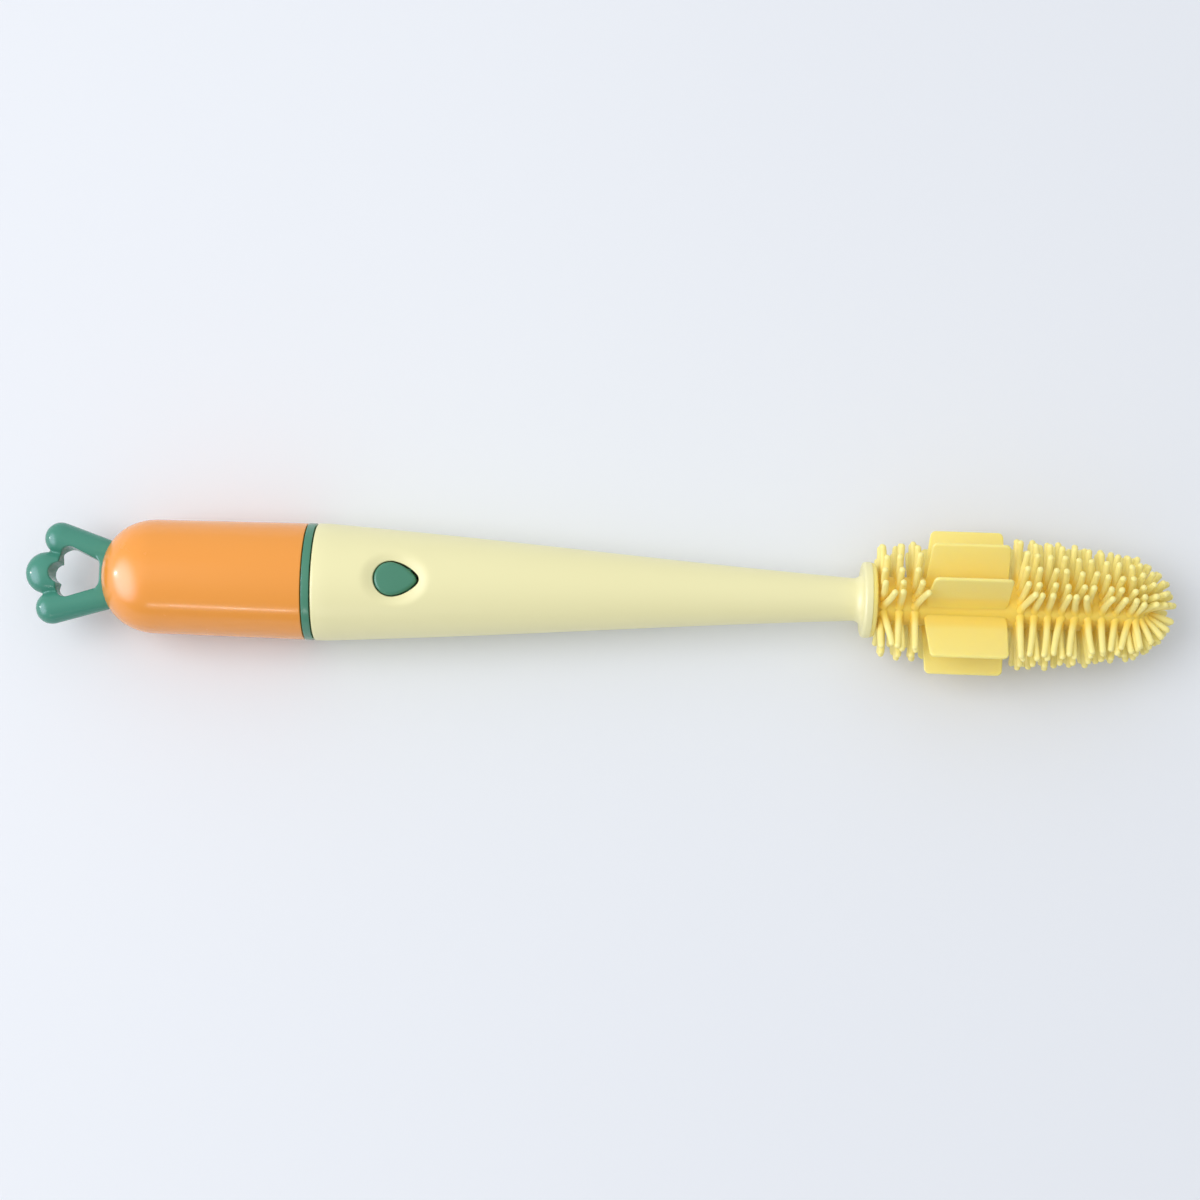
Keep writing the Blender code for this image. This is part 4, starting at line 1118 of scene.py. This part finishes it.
strands = bmesh.new()
for column in range(REAR_COLUMNS):
    x = HEAD_X + REAR_START + column * REAR_PITCH
    chosen = {ROW_BELOW: REAR_BELOW[column] * MM, ROW_ABOVE: REAR_ABOVE[column] * MM}
    row_of_strands(strands, x, REAR_TIP + column * REAR_TIP_RISE, chosen)
for column in range(FRONT_COLUMNS):
    x = HEAD_X + FRONT_START + column * FRONT_PITCH
    ahead = column * FRONT_PITCH
    tip_radius = FRONT_TIP - FRONT_SLOPE * ahead - ahead ** 2 / FRONT_CURVE
    chosen = {ROW_BELOW: LEANS_BELOW[column] * MM, ROW_ABOVE: LEANS_ABOVE[column] * MM}
    row_of_strands(strands, x, tip_radius, chosen)
for count, opening in NOSE_RINGS:
    out, ahead = math.sin(math.radians(opening)), math.cos(math.radians(opening))
    for i in range(count):
        angle = MOULD_MIDDLE - 90 + 360.0 / count * (i + 0.5)
        angle += chance.uniform(-NOSE_WANDER, NOSE_WANDER)
        root_x = NOSE_START + (NOSE_LENGTH - ROOT_DEPTH) * ahead
        root = on_sleeve(root_x, (SLEEVE_RADIUS - ROOT_DEPTH) * out, angle)
        reach = 1 - chance.uniform(0.0, NOSE_SHORT)
        tip_x = NOSE_TIPS_X + NOSE_TIPS_LENGTH * reach * ahead
        tip = on_sleeve(tip_x, NOSE_TIPS_RADIUS * reach * out, lean(angle, 0.0))
        strand(strands, root, tip, random_bow(NOSE_BOW), STRAND_RADIUS, STRAND_TIP_SHARE)
add_piece("head_strands", strands, "handle", "pale_silicone", "silicone_head")

# %% [markdown]
# ## The small brush in the handle
#
# Pulling the grip draws out a slim second brush: a stiff stem in the collar's boss and a short
# silicone sleeve with eight rows of fine strands, for teats and straws.

# %% Small brush
stem_low, stem_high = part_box("small_brush_stem")
small_low, small_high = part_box("small_brush_bristles")
STEM_RADIUS = 1.5 * MM
SMALL_SLEEVE = 2.9 * MM
SMALL_ROWS = 8
SMALL_COLUMNS = 11
SMALL_PITCH = 4.0 * MM
SMALL_END = 3.0 * MM
SMALL_TIP = 6.45 * MM
SMALL_STRAND = 0.6 * MM
SMALL_TIP_SHARE = 0.8

stem_corners = [(stem_high.x, 0.0, 0.0), (stem_high.x, STEM_RADIUS, 0.3 * MM)]
stem_corners += [(stem_low.x, STEM_RADIUS, 0.0), (stem_low.x, 0.0, 0.0)]
stem = lathe(rounded(stem_corners), 48)[0]
add_piece("refill_stem", stem, "grip", "core_plastic", "small_brush_stem")

sleeve_corners = [
    (small_high.x, 0.0, 0.0),
    (small_high.x, SMALL_SLEEVE, 1.4 * MM),
    (small_low.x, SMALL_SLEEVE, 0.4 * MM),
    (small_low.x, STEM_BORE, 0.0),
    (small_high.x - SMALL_END, STEM_BORE, 0.0),
    (small_high.x - SMALL_END, 0.0, 0.0),
]
bristles = lathe(rounded(sleeve_corners), 64)[0]
for column in range(SMALL_COLUMNS):
    x = small_low.x + SMALL_END + column * SMALL_PITCH
    for row in range(SMALL_ROWS):
        angle = 360.0 / SMALL_ROWS * (row + 0.5)
        root = on_sleeve(x, SMALL_SLEEVE - 0.4 * MM, angle)
        tip = on_sleeve(x, SMALL_TIP, angle)
        strand(bristles, root, tip, Vector(), SMALL_STRAND, SMALL_TIP_SHARE)
add_piece("refill_bristles", bristles, "grip", "pale_silicone", "small_brush_bristles")

# %% [markdown]
# ## The table
#
# The brush lies on a white table: one large square. It sits a hair low, because a strand that touched
# it would flicker.

# %% Table
TABLE_SIZE = 6.0
TABLE_DROP = 0.05 * MM
table_mat, table_tree, table_shader = new_finish("white_table", Roughness=0.9, Specular_IOR_Level=0.2)
table_drift = node(table_tree, "Group", node_tree=tone_group, Scale=3.0)
add_tones(table_tree, table_shader, table_drift, "Mask", (236, 239, 245), (232, 235, 242))
table_bm = bmesh.new()
bmesh.ops.create_grid(table_bm, x_segments=1, y_segments=1, size=TABLE_SIZE / 2)
table = as_object("table", table_bm)
table.data.materials.append(table_mat)
table.location.z = -TABLE_DROP
print("table:", TABLE_SIZE, "m square")

# %% [markdown]
# ## Light
#
# A window to the left, low down, gives the dome and the leaf their soft patches of light. Its light
# fades to its edges, so that the patches do too: on an area lamp, the Geometry node's Parametric
# output runs from 0 to 1 across its face. It only shines in reflections, because light from so low
# would draw long shadows. A lamp higher on the same side shades the dish and the head, and it in turn
# is kept out of reflections, where it would be a second patch. A thin lamp on the near side draws one
# fine line along the glossy grip, and a gap under the window's blind puts a bright spot on the dome.
# A pale sky, brighter above the far side, lights the rest.

# %% Lamps
WHITE = (1.0, 0.99, 0.97)
LILAC = (0.82, 0.72, 1.0)


def soft_lamp(name, azimuth, elevation, distance, width, height, level, colour):
    """An area lamp that faces the brush: angles in degrees, sizes in metres, level of its face."""
    lamp = bpy.data.lights.new(name, "AREA")
    lamp.shape = "RECTANGLE"
    lamp.size = width
    lamp.size_y = height
    lamp.energy = level * math.pi * width * height
    lamp.color = colour
    turn, rise = math.radians(azimuth), math.radians(elevation)
    away = Vector((math.cos(turn) * math.cos(rise), math.sin(turn) * math.cos(rise), math.sin(rise)))
    obj = bpy.data.objects.new(name, lamp)
    obj.location = away * distance
    obj.rotation_euler = away.to_track_quat("Z", "Y").to_euler()
    bpy.context.scene.collection.objects.link(obj)
    return obj


def fade_to_edges(lamp):
    """Makes a lamp's face brightest in the middle and dark at its edges."""
    lamp.data.use_nodes = True
    tree = lamp.data.node_tree
    face = node(tree, "NewGeometry")
    centred = node(tree, "VectorMath", operation="SUBTRACT")
    centred.inputs[1].default_value = (0.5, 0.5, 0.0)
    wire(tree, face, "Parametric", centred, 0)
    off_middle = node(tree, "VectorMath", operation="LENGTH")
    wire(tree, centred, "Vector", off_middle, 0)
    fade = node(tree, "MapRange", interpolation_type="SMOOTHERSTEP", From_Min=0.5, From_Max=0.1)
    wire(tree, off_middle, "Value", fade, "Value")
    wire(tree, fade, "Result", tree.nodes["Emission"], "Strength")


window = soft_lamp("left_window", 192, 27, 1.3, 2.3, 1.7, 6.6, LILAC)
window.visible_diffuse = False
fade_to_edges(window)
high_lamp = soft_lamp("left_high", 176, 57, 1.4, 0.9, 0.9, 3.0, WHITE)
high_lamp.visible_glossy = False
tube = soft_lamp("thin_tube", 258, 24, 1.24, 0.34, 0.006, 130.0, WHITE)
tube.visible_diffuse = False
blind = soft_lamp("blind_gap", 179, 10, 1.3, 0.04, 0.04, 400.0, WHITE)
blind.visible_diffuse = False
print("lamps:", [lamp.name for lamp in (window, high_lamp, tube, blind)])

# %% Sky
SKY_LOW = 0.4
SKY_HIGH = 0.92
world = bpy.data.worlds.new("soft_room")
world.use_nodes = True
room = world.node_tree
sky_way = node(room, "TexCoord")
sky_side = node(room, "VectorMath", operation="DOT_PRODUCT")
sky_side.inputs[1].default_value = Vector((-0.55, 0.35, 0.76)).normalized()
wire(room, sky_way, "Generated", sky_side, 0)
sky_fade = node(room, "MapRange", interpolation_type="SMOOTHSTEP", From_Min=-0.3, From_Max=1.0)
adjust(sky_fade, To_Min=SKY_LOW, To_Max=SKY_HIGH)
wire(room, sky_side, "Value", sky_fade, "Value")
sky = room.nodes["Background"]
sky.inputs["Color"].default_value = (0.96, 0.98, 1.0, 1.0)
wire(room, sky_fade, "Result", sky, "Strength")
bpy.context.scene.world = world
print("sky from", SKY_LOW, "to", SKY_HIGH)

# %% [markdown]
# ## The camera
#
# The photograph was taken from nearly straight above, with a small tilt and a small roll. The
# distance sets how much the head's fins lean apart, and the lens then follows from the width of
# the view.

# %% Camera
CAMERA_DISTANCE = 0.72
VIEW_WIDTH = 0.3754
TILT = 6.5
ROLL = 1.9
AIM = Vector((0.0, -2.8 * MM, AXIS_Z))

roll = math.radians(ROLL)
tilt = math.radians(TILT)
image_up = Vector((-math.sin(roll), math.cos(roll), 0.0))
back = Vector((0.0, 0.0, math.cos(tilt))) - image_up * math.sin(tilt)
right = image_up.cross(back).normalized()
lens = bpy.data.cameras.new("overhead")
lens.sensor_width = 36.0
lens.lens = lens.sensor_width * CAMERA_DISTANCE / VIEW_WIDTH
lens.clip_start = 0.02
camera = bpy.data.objects.new("overhead", lens)
camera.matrix_world = Matrix.Translation(AIM + back * CAMERA_DISTANCE) @ Matrix(
    (right, back.cross(right), back)
).transposed().to_4x4()
bpy.context.scene.collection.objects.link(camera)
bpy.context.scene.camera = camera
bpy.context.scene.view_settings.view_transform = "Standard"
print("lens, mm:", round(lens.lens, 1))
